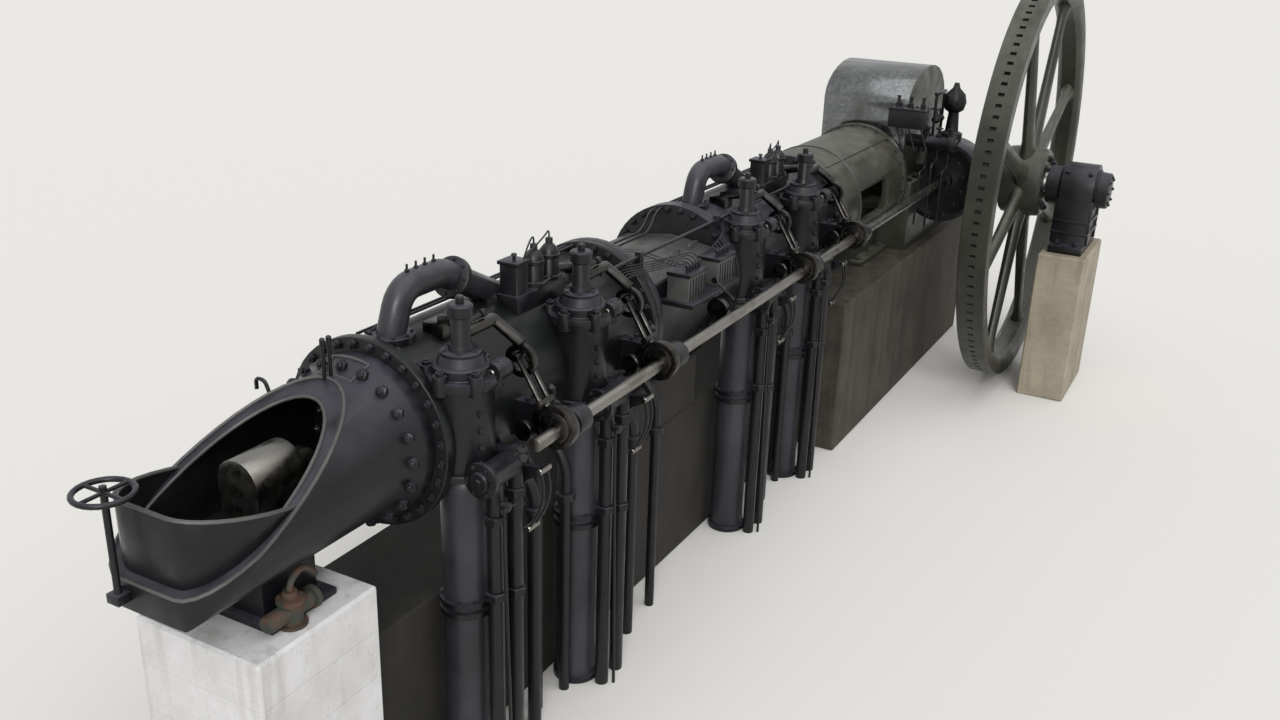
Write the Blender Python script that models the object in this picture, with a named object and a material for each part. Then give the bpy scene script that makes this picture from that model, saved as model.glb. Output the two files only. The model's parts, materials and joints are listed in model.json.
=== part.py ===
"""A horizontal tandem gas engine with its side shaft, flywheel and foundation.

Metres, +Z up.  +X runs along the engine from its tail to its crankshaft.  The side shaft and the flywheel are on
the -Y side.  The origin is at the foot of the foundation, under the middle of the crankshaft.
"""

import math

import bmesh
import bpy
from mathutils import Vector

# Heights
FLOOR_Z = 1.60  # hall floor above the foot of the foundation, which is the floor of the wheel pit
AXIS_HEIGHT = 1.30  # engine axis above the hall floor
AXIS_Z = FLOOR_Z + AXIS_HEIGHT

# Lengths along the engine, from the crankshaft to the tail
BAY_REACH = 1.20  # crank bay, each way from the crankshaft
GUIDE_LENGTH = 2.46
CYLINDER_LENGTH = 3.03
DISTANCE_LENGTH = 1.67
TAIL_LENGTH = 1.91
GUIDE_X = -BAY_REACH
CRANK_CYLINDER_X = GUIDE_X - GUIDE_LENGTH
DISTANCE_X = CRANK_CYLINDER_X - CYLINDER_LENGTH
TAIL_CYLINDER_X = DISTANCE_X - DISTANCE_LENGTH
TAIL_X = TAIL_CYLINDER_X - CYLINDER_LENGTH
NOSE_X = TAIL_X - TAIL_LENGTH

# Working sizes
STROKE = 0.914
BARREL_RADIUS = 0.62
FLANGE_RADIUS = 0.70
FLANGE_THICKNESS = 0.09
SHAFT_SIDE = 1.10  # side shaft to engine axis
SIDE_SHAFT_RADIUS = 0.05
JOURNAL_RADIUS = 0.20
CASE_RADIUS = 0.55  # gear case round the end of the side shaft
WHEEL_STANDOFF = 0.255  # rim of the flywheel clear of the gear case
WHEEL_RADIUS = 2.745
WHEEL_WIDTH = 0.35
WHEEL_SIDE = SHAFT_SIDE + CASE_RADIUS + WHEEL_STANDOFF + WHEEL_WIDTH / 2  # middle of the wheel to engine axis
STATION_INSET = 0.74  # from each end of a cylinder to its valve station
ROD_RADIUS = 0.09
PIN_RADIUS = 0.16
WEB_END = 0.02  # crank web beyond the pin
WEB_HALF_WIDTH = 0.24
WEB_TIP_HALF_WIDTH = 0.22
CRANK_SWING = math.hypot(STROKE / 2 + PIN_RADIUS + WEB_END, WEB_TIP_HALF_WIDTH)

# Clearances and facet counts
SEAT_GAP = 0.0003
SHAFT_CLEARANCE = 0.0008
SLIDE_CLEARANCE = 0.0005
SWING_CLEARANCE = 0.03
OVERRUN = 0.05  # how far a cutter runs past what it cuts
BITE = 0.02  # how far joined shapes run into each other
LARGE_SIDES = 48
SMALL_SIDES = 24
PIPE_SIDES = 12
WHEEL_SIDES = 96

AXIS_SPREADS = {
    "X": lambda a, b, along: (along, a, b),
    "Y": lambda a, b, along: (a, along, b),
    "Z": lambda a, b, along: (a, b, along),
}

for old in list(bpy.data.objects):
    bpy.data.objects.remove(old)


def paint(name, colour, roughness, metallic):
    made = bpy.data.materials.new(name)
    made.use_nodes = True
    shader = made.node_tree.nodes["Principled BSDF"]
    shader.inputs["Base Color"].default_value = (*colour, 1)
    shader.inputs["Roughness"].default_value = roughness
    shader.inputs["Metallic"].default_value = metallic
    return made


CONCRETE = paint("cast concrete", (0.42, 0.38, 0.31), 0.9, 0)
WHITE_CONCRETE = paint("whitewashed concrete", (0.72, 0.70, 0.66), 0.85, 0)
OILY_IRON = paint("oily painted cast iron", (0.045, 0.044, 0.05), 0.4, 0.2)
OLIVE_IRON = paint("olive painted cast iron", (0.13, 0.13, 0.10), 0.5, 0.1)
BRIGHT_STEEL = paint("machined steel", (0.55, 0.54, 0.52), 0.3, 1)
GALVANISED = paint("galvanised sheet", (0.52, 0.53, 0.53), 0.35, 0.9)
PLATE = paint("grey steel plate", (0.22, 0.22, 0.21), 0.5, 0.4)


def finished(name, shape, material, at=(0, 0, 0)):
    """An object made from a bmesh, with its faces turned outwards and its round faces smooth."""
    bmesh.ops.recalc_face_normals(shape, faces=shape.faces)
    mesh = bpy.data.meshes.new(name)
    shape.to_mesh(mesh)
    shape.free()
    mesh.materials.append(material)
    mesh.shade_smooth()
    mesh.set_sharp_from_angle(angle=math.radians(35))
    made = bpy.data.objects.new(name, mesh)
    made.location = at
    bpy.context.scene.collection.objects.link(made)
    return made


def loft(name, rings, material, at=(0, 0, 0)):
    """A closed solid through rings of points, with a flat cap at each end."""
    shape = bmesh.new()
    loops = [[shape.verts.new(point) for point in ring] for ring in rings]
    count = len(loops[0])
    for low, high in zip(loops, loops[1:]):
        for i in range(count):
            j = (i + 1) % count
            shape.faces.new((low[i], low[j], high[j], high[i]))
    shape.faces.new(loops[0])
    shape.faces.new(loops[-1])
    return finished(name, shape, material, at)


def prism(name, axis, outline, low, high, material, at=(0, 0, 0)):
    """An outline in the plane across an axis, extruded along it.  X takes (y, z), Y takes (x, z), Z takes (x, y)."""
    spread = AXIS_SPREADS[axis]
    rings = [[spread(a, b, along) for a, b in outline] for along in (low, high)]
    return loft(name, rings, material, at)


def block(name, low, high, material, at=(0, 0, 0)):
    """A box between two corners."""
    outline = [(low[0], low[1]), (high[0], low[1]), (high[0], high[1]), (low[0], high[1])]
    return prism(name, "Z", outline, low[2], high[2], material, at)


def circle(radius, sides):
    turn = 2 * math.pi / sides
    return [(radius * math.cos(turn * i), radius * math.sin(turn * i)) for i in range(sides)]


def turned(name, axis, profile, sides, material, at=(0, 0, 0)):
    """A solid of revolution about an axis through its location, from a profile of (along, radius)."""
    spread = AXIS_SPREADS[axis]
    rings = [[spread(a, b, along) for a, b in circle(radius, sides)] for along, radius in profile]
    return loft(name, rings, material, at)


def collar(name, axis, profile, sides, material, at=(0, 0, 0)):
    """A ring about an axis through its location, from a closed profile of (along, radius)."""
    spread = AXIS_SPREADS[axis]
    shape = bmesh.new()
    loops = [
        [shape.verts.new(spread(a, b, along)) for a, b in circle(radius, sides)] for along, radius in profile
    ]
    for k, low in enumerate(loops):
        high = loops[(k + 1) % len(loops)]
        for i in range(sides):
            j = (i + 1) % sides
            shape.faces.new((low[i], low[j], high[j], high[i]))
    return finished(name, shape, material, at)


def tube(name, path, radius, sides, material, at=(0, 0, 0)):
    """A round bar or pipe along a path of points."""
    points = [Vector(point) for point in path]
    rings = []
    side = None
    for i, point in enumerate(points):
        steps = []
        if i > 0:
            steps.append((point - points[i - 1]).normalized())
        if i + 1 < len(points):
            steps.append((points[i + 1] - point).normalized())
        along = sum(steps, Vector()).normalized()
        if side is None:
            side = along.orthogonal().normalized()
        side = (side - along * side.dot(along)).normalized()
        other = along.cross(side)
        rings.append([point + side * a + other * b for a, b in circle(radius, sides)])
    return loft(name, rings, material, at)


def bent(corners, radius, steps):
    """A path through corners, each rounded with a bend of the given radius."""
    points = [Vector(corner) for corner in corners]
    path = [points[0]]
    for before, corner, after in zip(points, points[1:], points[2:]):
        back = (before - corner).normalized()
        on = (after - corner).normalized()
        half = back.angle(on) / 2
        reach = radius / math.tan(half)
        centre = corner + (back + on).normalized() * radius / math.sin(half)
        start = (corner + back * reach - centre).normalized()
        end = (corner + on * reach - centre).normalized()
        path += [centre + start.slerp(end, k / steps) * radius for k in range(steps + 1)]
    path.append(points[-1])
    return path


def combine(target, tool, operation):
    """A live Boolean on the target with a helper shape, which is hidden."""
    modifier = target.modifiers.new(tool.name, "BOOLEAN")
    modifier.operation = operation
    modifier.solver = "EXACT"
    modifier.object = tool
    tool.hide_render = True
    tool.display_type = "WIRE"


def add(target, *tools):
    for tool in tools:
        combine(target, tool, "UNION")


def cut(target, *tools):
    for tool in tools:
        combine(target, tool, "DIFFERENCE")


def keep(target, *tools):
    for tool in tools:
        combine(target, tool, "INTERSECT")


# Foundation
STRIP_NEAR = 0.38  # reach of the foundation under the cylinders towards the side shaft
STRIP_FAR = 0.60
STRIP_SETBACK = 0.30  # end of the crank cylinder to the end of that foundation
PIER_SETBACK = 0.28  # nose of the tail guide beyond the face of its pier
PIER_WIDTH = 1.06
PIER_HEIGHT = 0.54
TAIL_PIER_LENGTH = 1.07
DISTANCE_PIER_LENGTH = 1.30
FRAME_PIER_HEIGHT = 0.35
FRAME_PIER_WIDTH = 1.90
FRAME_PIER_END = 0.55  # beyond the crank bay
PIER_CHAMFER = 0.02
PIER_X = NOSE_X + PIER_SETBACK
STRIP_END_X = CRANK_CYLINDER_X - STRIP_SETBACK


def pier(name, low, high, material):
    made = block(name, low, high, material)
    chamfer = made.modifiers.new("chamfer", "BEVEL")
    chamfer.width = PIER_CHAMFER
    chamfer.segments = 1


def foundation():
    half = PIER_WIDTH / 2
    top = FLOOR_Z + PIER_HEIGHT
    end = PIER_X + TAIL_PIER_LENGTH
    pier("tail_pier", (PIER_X, -half, 0), (end, half, top), WHITE_CONCRETE)
    start = end + SEAT_GAP
    pier("foundation_strip", (start, -STRIP_NEAR, 0), (STRIP_END_X, STRIP_FAR, FLOOR_Z), CONCRETE)
    middle = DISTANCE_X - DISTANCE_LENGTH / 2
    reach = DISTANCE_PIER_LENGTH / 2
    base = FLOOR_Z + SEAT_GAP
    pier("distance_pier", (middle - reach, -STRIP_NEAR, base), (middle + reach, STRIP_FAR, top), WHITE_CONCRETE)
    wide = FRAME_PIER_WIDTH / 2
    end = BAY_REACH + FRAME_PIER_END
    high = FLOOR_Z + FRAME_PIER_HEIGHT
    pier("frame_pier", (STRIP_END_X + SEAT_GAP, -wide, 0), (end, wide, high), CONCRETE)


# Tail guide: a round casting, narrowed like the bow of a boat and cut open by a sloping plane
TAIL_RADIUS = 0.53
TAIL_WALL = 0.08
TAIL_FLANGE_RADIUS = 0.60
TAIL_FLANGE_THICKNESS = 0.11
TAIL_SHOULDER_LENGTH = 0.17  # sloping shoulder behind that flange
NOSE_HALF_WIDTH = 0.23
NOSE_DROP = 0.42  # axis to the underside at the nose
BOW_HALF_WIDTH = TAIL_RADIUS + BITE
BOW_LENGTH = 0.62
BOW_STEPS = 8
KEEL_LENGTH = 0.35
MOUTH_DROP = 0.24  # axis down to the mouth at the nose
MOUTH_SLOPE = 0.49
MOUTH_END = 0.30  # from the upper end of the mouth to the flange
RUNNER_DROP = 0.40  # axis to the flat floor that the tail crosshead slides on
TAIL_FOOT_LENGTH = 0.46
TAIL_FOOT_WIDTH = 0.50
TAIL_FOOT_SETBACK = 0.62  # nose to the foot
HEAD_RADIUS = 0.39  # cylinder head inside the flange of the guide


def bow_outline(inset, end_x):
    """The plan of the guide: a flat nose that widens along a quarter of an ellipse on each side."""
    side = []
    for k in range(BOW_STEPS + 1):
        angle = math.pi / 2 * k / BOW_STEPS
        x = NOSE_X + inset + (BOW_LENGTH - inset) * (1 - math.cos(angle))
        y = NOSE_HALF_WIDTH + (BOW_HALF_WIDTH - NOSE_HALF_WIDTH) * math.sin(angle)
        side.append((x, inset - y))
    side.append((end_x, inset - BOW_HALF_WIDTH))
    return side + [(x, -y) for x, y in reversed(side)]


def tail_guide():
    at = (0, 0, AXIS_Z)
    end = TAIL_X - SEAT_GAP
    barrel = [(NOSE_X - OVERRUN, TAIL_RADIUS), (end - BITE, TAIL_RADIUS)]
    made = turned("tail_guide", "X", barrel, LARGE_SIDES, OILY_IRON, at)
    low = AXIS_Z - TAIL_RADIUS - OVERRUN
    high = AXIS_Z + TAIL_RADIUS + OVERRUN
    plan = prism("tail_guide_plan", "Z", bow_outline(0, end + OVERRUN), low, high, OILY_IRON)
    mouth_end_x = TAIL_X - MOUTH_END
    mouth_start = AXIS_Z - MOUTH_DROP
    side = [
        (NOSE_X - OVERRUN, AXIS_Z - NOSE_DROP),
        (NOSE_X + KEEL_LENGTH, low),
        (end + OVERRUN, low),
        (end + OVERRUN, high),
        (mouth_end_x, high),
        (mouth_end_x, mouth_start + MOUTH_SLOPE * (mouth_end_x - NOSE_X)),
        (NOSE_X - OVERRUN, mouth_start - MOUTH_SLOPE * OVERRUN),
    ]
    wide = TAIL_RADIUS + OVERRUN
    keep(made, plan, prism("tail_guide_side", "Y", side, -wide, wide, OILY_IRON))
    inner = TAIL_RADIUS - TAIL_WALL
    bore = [(NOSE_X - OVERRUN, inner), (TAIL_X + OVERRUN, inner)]
    hollow = turned("tail_guide_hollow", "X", bore, LARGE_SIDES, OILY_IRON, at)
    inside = bow_outline(TAIL_WALL, TAIL_X + OVERRUN + OVERRUN)
    keep(hollow, prism("tail_guide_inside", "Z", inside, AXIS_Z - RUNNER_DROP, high, OILY_IRON))
    rim_x = TAIL_X - TAIL_FLANGE_THICKNESS
    shoulder = (rim_x - TAIL_SHOULDER_LENGTH, TAIL_RADIUS - SEAT_GAP)
    ring = [shoulder, (rim_x, TAIL_FLANGE_RADIUS), (end, TAIL_FLANGE_RADIUS)]
    flange = turned("tail_guide_flange", "X", ring, LARGE_SIDES, OILY_IRON, at)
    foot_x = NOSE_X + TAIL_FOOT_SETBACK
    foot = block(
        "tail_guide_foot",
        (foot_x, -TAIL_FOOT_WIDTH / 2, FLOOR_Z + PIER_HEIGHT + SEAT_GAP),
        (foot_x + TAIL_FOOT_LENGTH, TAIL_FOOT_WIDTH / 2, AXIS_Z - RUNNER_DROP - TAIL_WALL / 2),
        OILY_IRON,
    )
    add(made, flange, foot)
    cut(made, hollow)


# Sheet pan that stands on the edge of the mouth
PAN_WALL = 0.014
PAN_INSET = 0.05
PAN_RISE = 0.25  # axis to the rim at the nose
PAN_SLOPE = 0.20


def tail_pan():
    """A bow of sheet, whose rim falls a little towards the crankshaft until it meets the mouth."""
    far_x = TAIL_X
    low = AXIS_Z - TAIL_RADIUS
    high = AXIS_Z + TAIL_RADIUS
    made = prism("tail_pan", "Z", bow_outline(PAN_INSET, far_x), low, high, OILY_IRON)
    inside = bow_outline(PAN_INSET + PAN_WALL, far_x + OVERRUN)
    cut(made, prism("tail_pan_inside", "Z", inside, low - OVERRUN, high + OVERRUN, OILY_IRON))
    seam = AXIS_Z - MOUTH_DROP + SEAT_GAP
    rim = AXIS_Z + PAN_RISE
    meet = (rim - seam) / (MOUTH_SLOPE + PAN_SLOPE)
    side = [
        (NOSE_X - OVERRUN, seam - MOUTH_SLOPE * OVERRUN),
        (NOSE_X + meet, rim - PAN_SLOPE * meet),
        (NOSE_X - OVERRUN, rim + PAN_SLOPE * OVERRUN),
    ]
    wide = TAIL_RADIUS + OVERRUN
    keep(made, prism("tail_pan_side", "Y", side, -wide, wide, OILY_IRON))


# Handwheel of the drain valve, in front of the nose
HANDWHEEL_RADIUS = 0.17
HANDWHEEL_BAR = 0.018
SPOKE_BAR = 0.013
HANDWHEEL_STEPS = 24
HANDWHEEL_SIDE = 0.18
HANDWHEEL_RISE = 0.35  # above the axis
STEM_RADIUS = 0.022
STEM_LENGTH = 0.68
STEM_BRACKET_DROP = 0.33  # axis to the bracket that holds the stem
STEM_BRACKET_HALF_WIDTH = 0.05
STEM_BRACKET_HALF_HEIGHT = 0.03


def tail_handwheel():
    """A spoked handwheel on an upright stem, held by a bracket on the nose."""
    x = NOSE_X - STEM_RADIUS - SWING_CLEARANCE
    at = (x, HANDWHEEL_SIDE, AXIS_Z + HANDWHEEL_RISE)
    rim = []
    for a, b in circle(HANDWHEEL_BAR, PIPE_SIDES):
        rim.append((a, HANDWHEEL_RADIUS + b))
    made = collar("tail_handwheel", "Z", rim, HANDWHEEL_STEPS, OILY_IRON, at)
    for k, end in enumerate((Vector((HANDWHEEL_RADIUS, 0, 0)), Vector((0, HANDWHEEL_RADIUS, 0)))):
        add(made, tube(f"tail_handwheel_spoke_{k}", [-end, end], SPOKE_BAR, PIPE_SIDES, OILY_IRON, at))
    stem = [(-STEM_LENGTH, STEM_RADIUS), (STEM_RADIUS + BITE, STEM_RADIUS)]
    add(made, turned("tail_handwheel_stem", "Z", stem, PIPE_SIDES, BRIGHT_STEEL, at))
    low = (x - STEM_RADIUS * 2, HANDWHEEL_SIDE - STEM_BRACKET_HALF_WIDTH,
           AXIS_Z - STEM_BRACKET_DROP - STEM_BRACKET_HALF_HEIGHT)
    high = (NOSE_X - SEAT_GAP, HANDWHEEL_SIDE + STEM_BRACKET_HALF_WIDTH,
            AXIS_Z - STEM_BRACKET_DROP + STEM_BRACKET_HALF_HEIGHT)
    add(made, block("tail_handwheel_bracket", low, high, OILY_IRON))


# Tail crosshead and rod, which slide along the engine
HEAD_REACH = 0.11  # cylinder head inside the guide
GLAND_RADIUS = 0.19
GLAND_DEPTH = 0.08
SHOE_LENGTH = 0.48
SHOE_HALF_WIDTH = 0.15
SHOE_HEIGHT = 0.09
BODY_LENGTH = 0.40
BODY_HALF_WIDTH = 0.17
BODY_TOP = 0.27  # above the axis
BODY_STEPS = 10
CLAMP_LENGTH = 0.19
CLAMP_RADIUS = 0.14
SLIDE_IN = 0.37  # travel from rest towards the cylinder
ROD_BURIED = 0.35  # rod inside the cylinder at rest
GLAND_X = TAIL_X - HEAD_REACH - GLAND_DEPTH
CROSSHEAD_X = GLAND_X - SWING_CLEARANCE - SLIDE_IN - CLAMP_LENGTH - BODY_LENGTH / 2


def tail_crosshead():
    at = (CROSSHEAD_X, 0, AXIS_Z)
    floor = SLIDE_CLEARANCE - RUNNER_DROP
    shoe_top = floor + SHOE_HEIGHT
    half = SHOE_LENGTH / 2
    low = (-half, -SHOE_HALF_WIDTH, floor)
    made = block("tail_crosshead", low, (half, SHOE_HALF_WIDTH, shoe_top), BRIGHT_STEEL, at)
    shoulder = BODY_TOP - BODY_HALF_WIDTH
    arch = []
    for k in range(BODY_STEPS + 1):
        angle = math.pi * k / BODY_STEPS
        arch.append((BODY_HALF_WIDTH * math.cos(angle), shoulder + BODY_HALF_WIDTH * math.sin(angle)))
    foot = shoe_top - SHOE_HEIGHT / 2
    arch += [(BITE * 2 - BODY_HALF_WIDTH, foot), (BODY_HALF_WIDTH - BITE * 2, foot)]
    half = BODY_LENGTH / 2
    body = prism("tail_crosshead_body", "X", arch, -half, half, BRIGHT_STEEL, at)
    ends = [(0, CLAMP_RADIUS), (half + CLAMP_LENGTH, CLAMP_RADIUS)]
    add(made, body, turned("tail_crosshead_clamp", "X", ends, SMALL_SIDES, BRIGHT_STEEL, at))
    start = half + CLAMP_LENGTH + SEAT_GAP
    rod = [(start, ROD_RADIUS), (TAIL_X + ROD_BURIED - CROSSHEAD_X, ROD_RADIUS)]
    turned("tail_rod", "X", rod, SMALL_SIDES, BRIGHT_STEEL, at)


# Cylinders
JACKET_BAND = 0.10
WAIST_RADIUS = 0.58


def cylinder_body(name, end_x):
    """A water-jacketed cylinder with bolted flanges, whose tail end is at end_x."""
    start = end_x + SEAT_GAP
    end = end_x + CYLINDER_LENGTH - SEAT_GAP
    profile = [
        (start, FLANGE_RADIUS),
        (start + FLANGE_THICKNESS, FLANGE_RADIUS),
        (start + FLANGE_THICKNESS, WAIST_RADIUS),
        (start + FLANGE_THICKNESS + JACKET_BAND, BARREL_RADIUS),
        (end - FLANGE_THICKNESS - JACKET_BAND, BARREL_RADIUS),
        (end - FLANGE_THICKNESS, WAIST_RADIUS),
        (end - FLANGE_THICKNESS, FLANGE_RADIUS),
        (end, FLANGE_RADIUS),
    ]
    return turned(name, "X", profile, LARGE_SIDES, OILY_IRON, (0, 0, AXIS_Z))


def tail_cylinder():
    """The tail cylinder also has the head and the gland that the tail rod runs through."""
    at = (0, 0, AXIS_Z)
    made = cylinder_body("tail_cylinder", TAIL_X)
    head = [
        (GLAND_X, GLAND_RADIUS),
        (GLAND_X + GLAND_DEPTH, GLAND_RADIUS),
        (GLAND_X + GLAND_DEPTH, HEAD_RADIUS),
        (TAIL_X + FLANGE_THICKNESS / 2, HEAD_RADIUS),
    ]
    add(made, turned("tail_cylinder_head", "X", head, LARGE_SIDES, OILY_IRON, at))
    radius = ROD_RADIUS + SHAFT_CLEARANCE
    bore = [(GLAND_X - OVERRUN, radius), (TAIL_X + ROD_BURIED + SLIDE_IN + OVERRUN, radius)]
    cut(made, turned("tail_cylinder_bore", "X", bore, SMALL_SIDES, OILY_IRON, at))


def barrel_space(name, end_x):
    """The space that a cylinder takes, with a gap, to shape what is bolted on its side."""
    barrel = BARREL_RADIUS + SEAT_GAP
    flange = FLANGE_RADIUS + SEAT_GAP
    start = end_x + FLANGE_THICKNESS + 2 * SEAT_GAP
    end = end_x + CYLINDER_LENGTH - FLANGE_THICKNESS - 2 * SEAT_GAP
    profile = [(end_x - OVERRUN, flange), (start, flange), (start, barrel), (end, barrel), (end, flange)]
    profile.append((end_x + CYLINDER_LENGTH + OVERRUN, flange))
    return turned(name, "X", profile, LARGE_SIDES, OILY_IRON, (0, 0, AXIS_Z))


# Distance piece between the cylinders, with sheet covers
TROUGH_HALF_WIDTH = 0.52
TROUGH_TOP = 0.30  # above the axis
TROUGH_DROP = 0.50
TROUGH_WALL = 0.08
TROUGH_FOOT_HALF_WIDTH = 0.34
COVER_THICKNESS = 0.03
COVER_CROWN = 0.08
COVER_LENGTH = 0.70


def distance_piece():
    at = (0, 0, AXIS_Z)
    start = TAIL_CYLINDER_X + SEAT_GAP
    end = DISTANCE_X - SEAT_GAP
    low = FLOOR_Z + PIER_HEIGHT + SEAT_GAP - AXIS_Z
    outline = [
        (TROUGH_HALF_WIDTH, TROUGH_TOP),
        (TROUGH_HALF_WIDTH, -TROUGH_DROP / 2),
        (TROUGH_FOOT_HALF_WIDTH, -TROUGH_DROP),
        (TROUGH_FOOT_HALF_WIDTH, low),
    ]
    outline += [(-y, z) for y, z in reversed(outline)]
    made = prism("distance_piece", "X", outline, start + SEAT_GAP, end - SEAT_GAP, OILY_IRON, at)
    for k, x in enumerate((start, end - FLANGE_THICKNESS)):
        ring = [(x, FLANGE_RADIUS), (x + FLANGE_THICKNESS, FLANGE_RADIUS)]
        add(made, turned(f"distance_flange_{k}", "X", ring, LARGE_SIDES, OILY_IRON, at))
    inner = TROUGH_HALF_WIDTH - TROUGH_WALL
    well_start = start + FLANGE_THICKNESS + TROUGH_WALL
    well_end = end - FLANGE_THICKNESS - TROUGH_WALL
    lower = TROUGH_FOOT_HALF_WIDTH - TROUGH_WALL
    well = [
        (inner, TROUGH_TOP + OVERRUN),
        (inner, -TROUGH_DROP / 2),
        (lower, TROUGH_WALL - TROUGH_DROP),
        (-lower, TROUGH_WALL - TROUGH_DROP),
        (-inner, -TROUGH_DROP / 2),
        (-inner, TROUGH_TOP + OVERRUN),
    ]
    cut(made, prism("distance_well", "X", well, well_start, well_end, OILY_IRON, at))
    low = TROUGH_TOP + SEAT_GAP
    high = low + COVER_THICKNESS
    outline = [
        (TROUGH_HALF_WIDTH, low),
        (TROUGH_HALF_WIDTH, high),
        (0, high + COVER_CROWN),
        (-TROUGH_HALF_WIDTH, high),
        (-TROUGH_HALF_WIDTH, low),
    ]
    middle = (start + end) / 2
    gap = (end - start - 2 * FLANGE_THICKNESS - 2 * COVER_LENGTH) / 3
    prism("distance_cover_tail", "X", outline, middle - gap / 2 - COVER_LENGTH, middle - gap / 2, PLATE, at)
    prism("distance_cover_crank", "X", outline, middle + gap / 2, middle + gap / 2 + COVER_LENGTH, PLATE, at)


# Main guide
GUIDE_WALL = 0.09
GUIDE_RIM_RADIUS = 0.74
WINDOW_LENGTH = 1.05
WINDOW_LOW = 0.24  # below the axis
WINDOW_HIGH = 0.20
GUIDE_FOOT_LENGTH = 1.10
GUIDE_FOOT_HALF_WIDTH = 0.40


def main_guide():
    at = (0, 0, AXIS_Z)
    start = CRANK_CYLINDER_X + SEAT_GAP
    end = GUIDE_X - SEAT_GAP
    profile = [
        (start, FLANGE_RADIUS),
        (end - FLANGE_THICKNESS, FLANGE_RADIUS),
        (end - FLANGE_THICKNESS, GUIDE_RIM_RADIUS),
        (end, GUIDE_RIM_RADIUS),
    ]
    made = turned("main_guide", "X", profile, LARGE_SIDES, OLIVE_IRON, at)
    foot_end = end - FLANGE_THICKNESS / 2
    low = (foot_end - GUIDE_FOOT_LENGTH, -GUIDE_FOOT_HALF_WIDTH, FLOOR_Z + FRAME_PIER_HEIGHT + SEAT_GAP)
    add(made, block("main_guide_foot", low, (foot_end, GUIDE_FOOT_HALF_WIDTH, AXIS_Z), OLIVE_IRON))
    inner = FLANGE_RADIUS - GUIDE_WALL
    bore = [(start + FLANGE_THICKNESS, inner), (end + OVERRUN, inner)]
    cut(made, turned("main_guide_bore", "X", bore, LARGE_SIDES, OLIVE_IRON, at))
    middle = (start + end) / 2
    reach = WINDOW_LENGTH / 2
    low = (middle - reach, -GUIDE_RIM_RADIUS, AXIS_Z - WINDOW_LOW)
    cut(made, block("main_guide_window", low, (middle + reach, 0, AXIS_Z + WINDOW_HIGH), OLIVE_IRON))


# Crank bay, bearings and hood
BAY_HALF_WIDTH = 0.80
CHEEK_WIDTH = 0.36  # each side wall, which carries a main bearing
PIT_END_CLEARANCE = 0.276
PIT_FLOOR_CLEARANCE = 0.076
CRANK_PIT_REACH = CRANK_SWING + PIT_END_CLEARANCE
CRANK_PIT_DEPTH = CRANK_SWING + PIT_FLOOR_CLEARANCE  # below the axis
SHELL_RADIUS = JOURNAL_RADIUS + SHAFT_CLEARANCE
CAP_RADIUS = 0.34
CAP_HALF_LENGTH = 0.38
CAP_RISE = 0.12
CAP_STEPS = 9
CAP_SHOULDER_DEGREES = 30
HOOD_HALF_WIDTH = 0.60
HOOD_WALL = 0.012
HOOD_TAIL_X = -1.08
HOOD_END_X = CRANK_SWING + SWING_CLEARANCE + HOOD_WALL
HOOD_TAIL_HEIGHT = 1.02  # above the axis, where the tail side turns into the vault
HOOD_END_HEIGHT = 0.84
HOOD_CROWN = 1.47
HOOD_STEPS = 12


def main_frame():
    low = FLOOR_Z + FRAME_PIER_HEIGHT + SEAT_GAP
    wide = BAY_HALF_WIDTH
    made = block("main_frame", (GUIDE_X, -wide, low), (BAY_REACH, wide, AXIS_Z), OLIVE_IRON)
    inner = BAY_HALF_WIDTH - CHEEK_WIDTH
    reach = CRANK_PIT_REACH
    high = AXIS_Z + OVERRUN
    pit = block("main_frame_pit", (-reach, -inner, AXIS_Z - CRANK_PIT_DEPTH), (reach, inner, high), OLIVE_IRON)
    narrow = inner - BITE
    start = GUIDE_X - OVERRUN
    way = block("main_frame_rod_way", (start, -narrow, AXIS_Z - narrow), (0, narrow, high + OVERRUN), OLIVE_IRON)
    shell = [(-wide - OVERRUN, SHELL_RADIUS), (wide + OVERRUN, SHELL_RADIUS)]
    cut(made, pit, way, turned("main_frame_seat", "Y", shell, LARGE_SIDES, OLIVE_IRON, (0, 0, AXIS_Z)))


def bearing_cap(name, side):
    """A main bearing cap over one cheek of the crank bay."""
    low, high = sorted((side * (BAY_HALF_WIDTH - CHEEK_WIDTH), side * BAY_HALF_WIDTH))
    at = (0, 0, AXIS_Z)
    outline = [(-CAP_HALF_LENGTH, SEAT_GAP), (CAP_HALF_LENGTH, SEAT_GAP), (CAP_HALF_LENGTH, CAP_RISE)]
    for k in range(CAP_STEPS):
        degrees = CAP_SHOULDER_DEGREES + (180 - 2 * CAP_SHOULDER_DEGREES) * k / (CAP_STEPS - 1)
        angle = math.radians(degrees)
        outline.append((CAP_RADIUS * math.cos(angle), CAP_RADIUS * math.sin(angle)))
    outline.append((-CAP_HALF_LENGTH, CAP_RISE))
    made = prism(name, "Y", outline, low, high, OLIVE_IRON, at)
    shell = [(low - OVERRUN, SHELL_RADIUS), (high + OVERRUN, SHELL_RADIUS)]
    cut(made, turned(name + "_seat", "Y", shell, LARGE_SIDES, OLIVE_IRON, at))


def hood_outline(wall, low):
    """The side view of the hood: upright at both ends under a vault."""
    middle = (HOOD_TAIL_X + HOOD_END_X) / 2
    half = (HOOD_END_X - HOOD_TAIL_X) / 2
    points = [(HOOD_END_X - wall, low)]
    for k in range(HOOD_STEPS + 1):
        angle = math.pi * k / HOOD_STEPS
        share = (1 - math.cos(angle)) / 2
        shoulder = HOOD_END_HEIGHT + (HOOD_TAIL_HEIGHT - HOOD_END_HEIGHT) * share
        x = middle + (half - wall) * math.cos(angle)
        points.append((x, shoulder + (HOOD_CROWN - wall - shoulder) * math.sin(angle)))
    points.append((HOOD_TAIL_X + wall, low))
    return points


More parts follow.
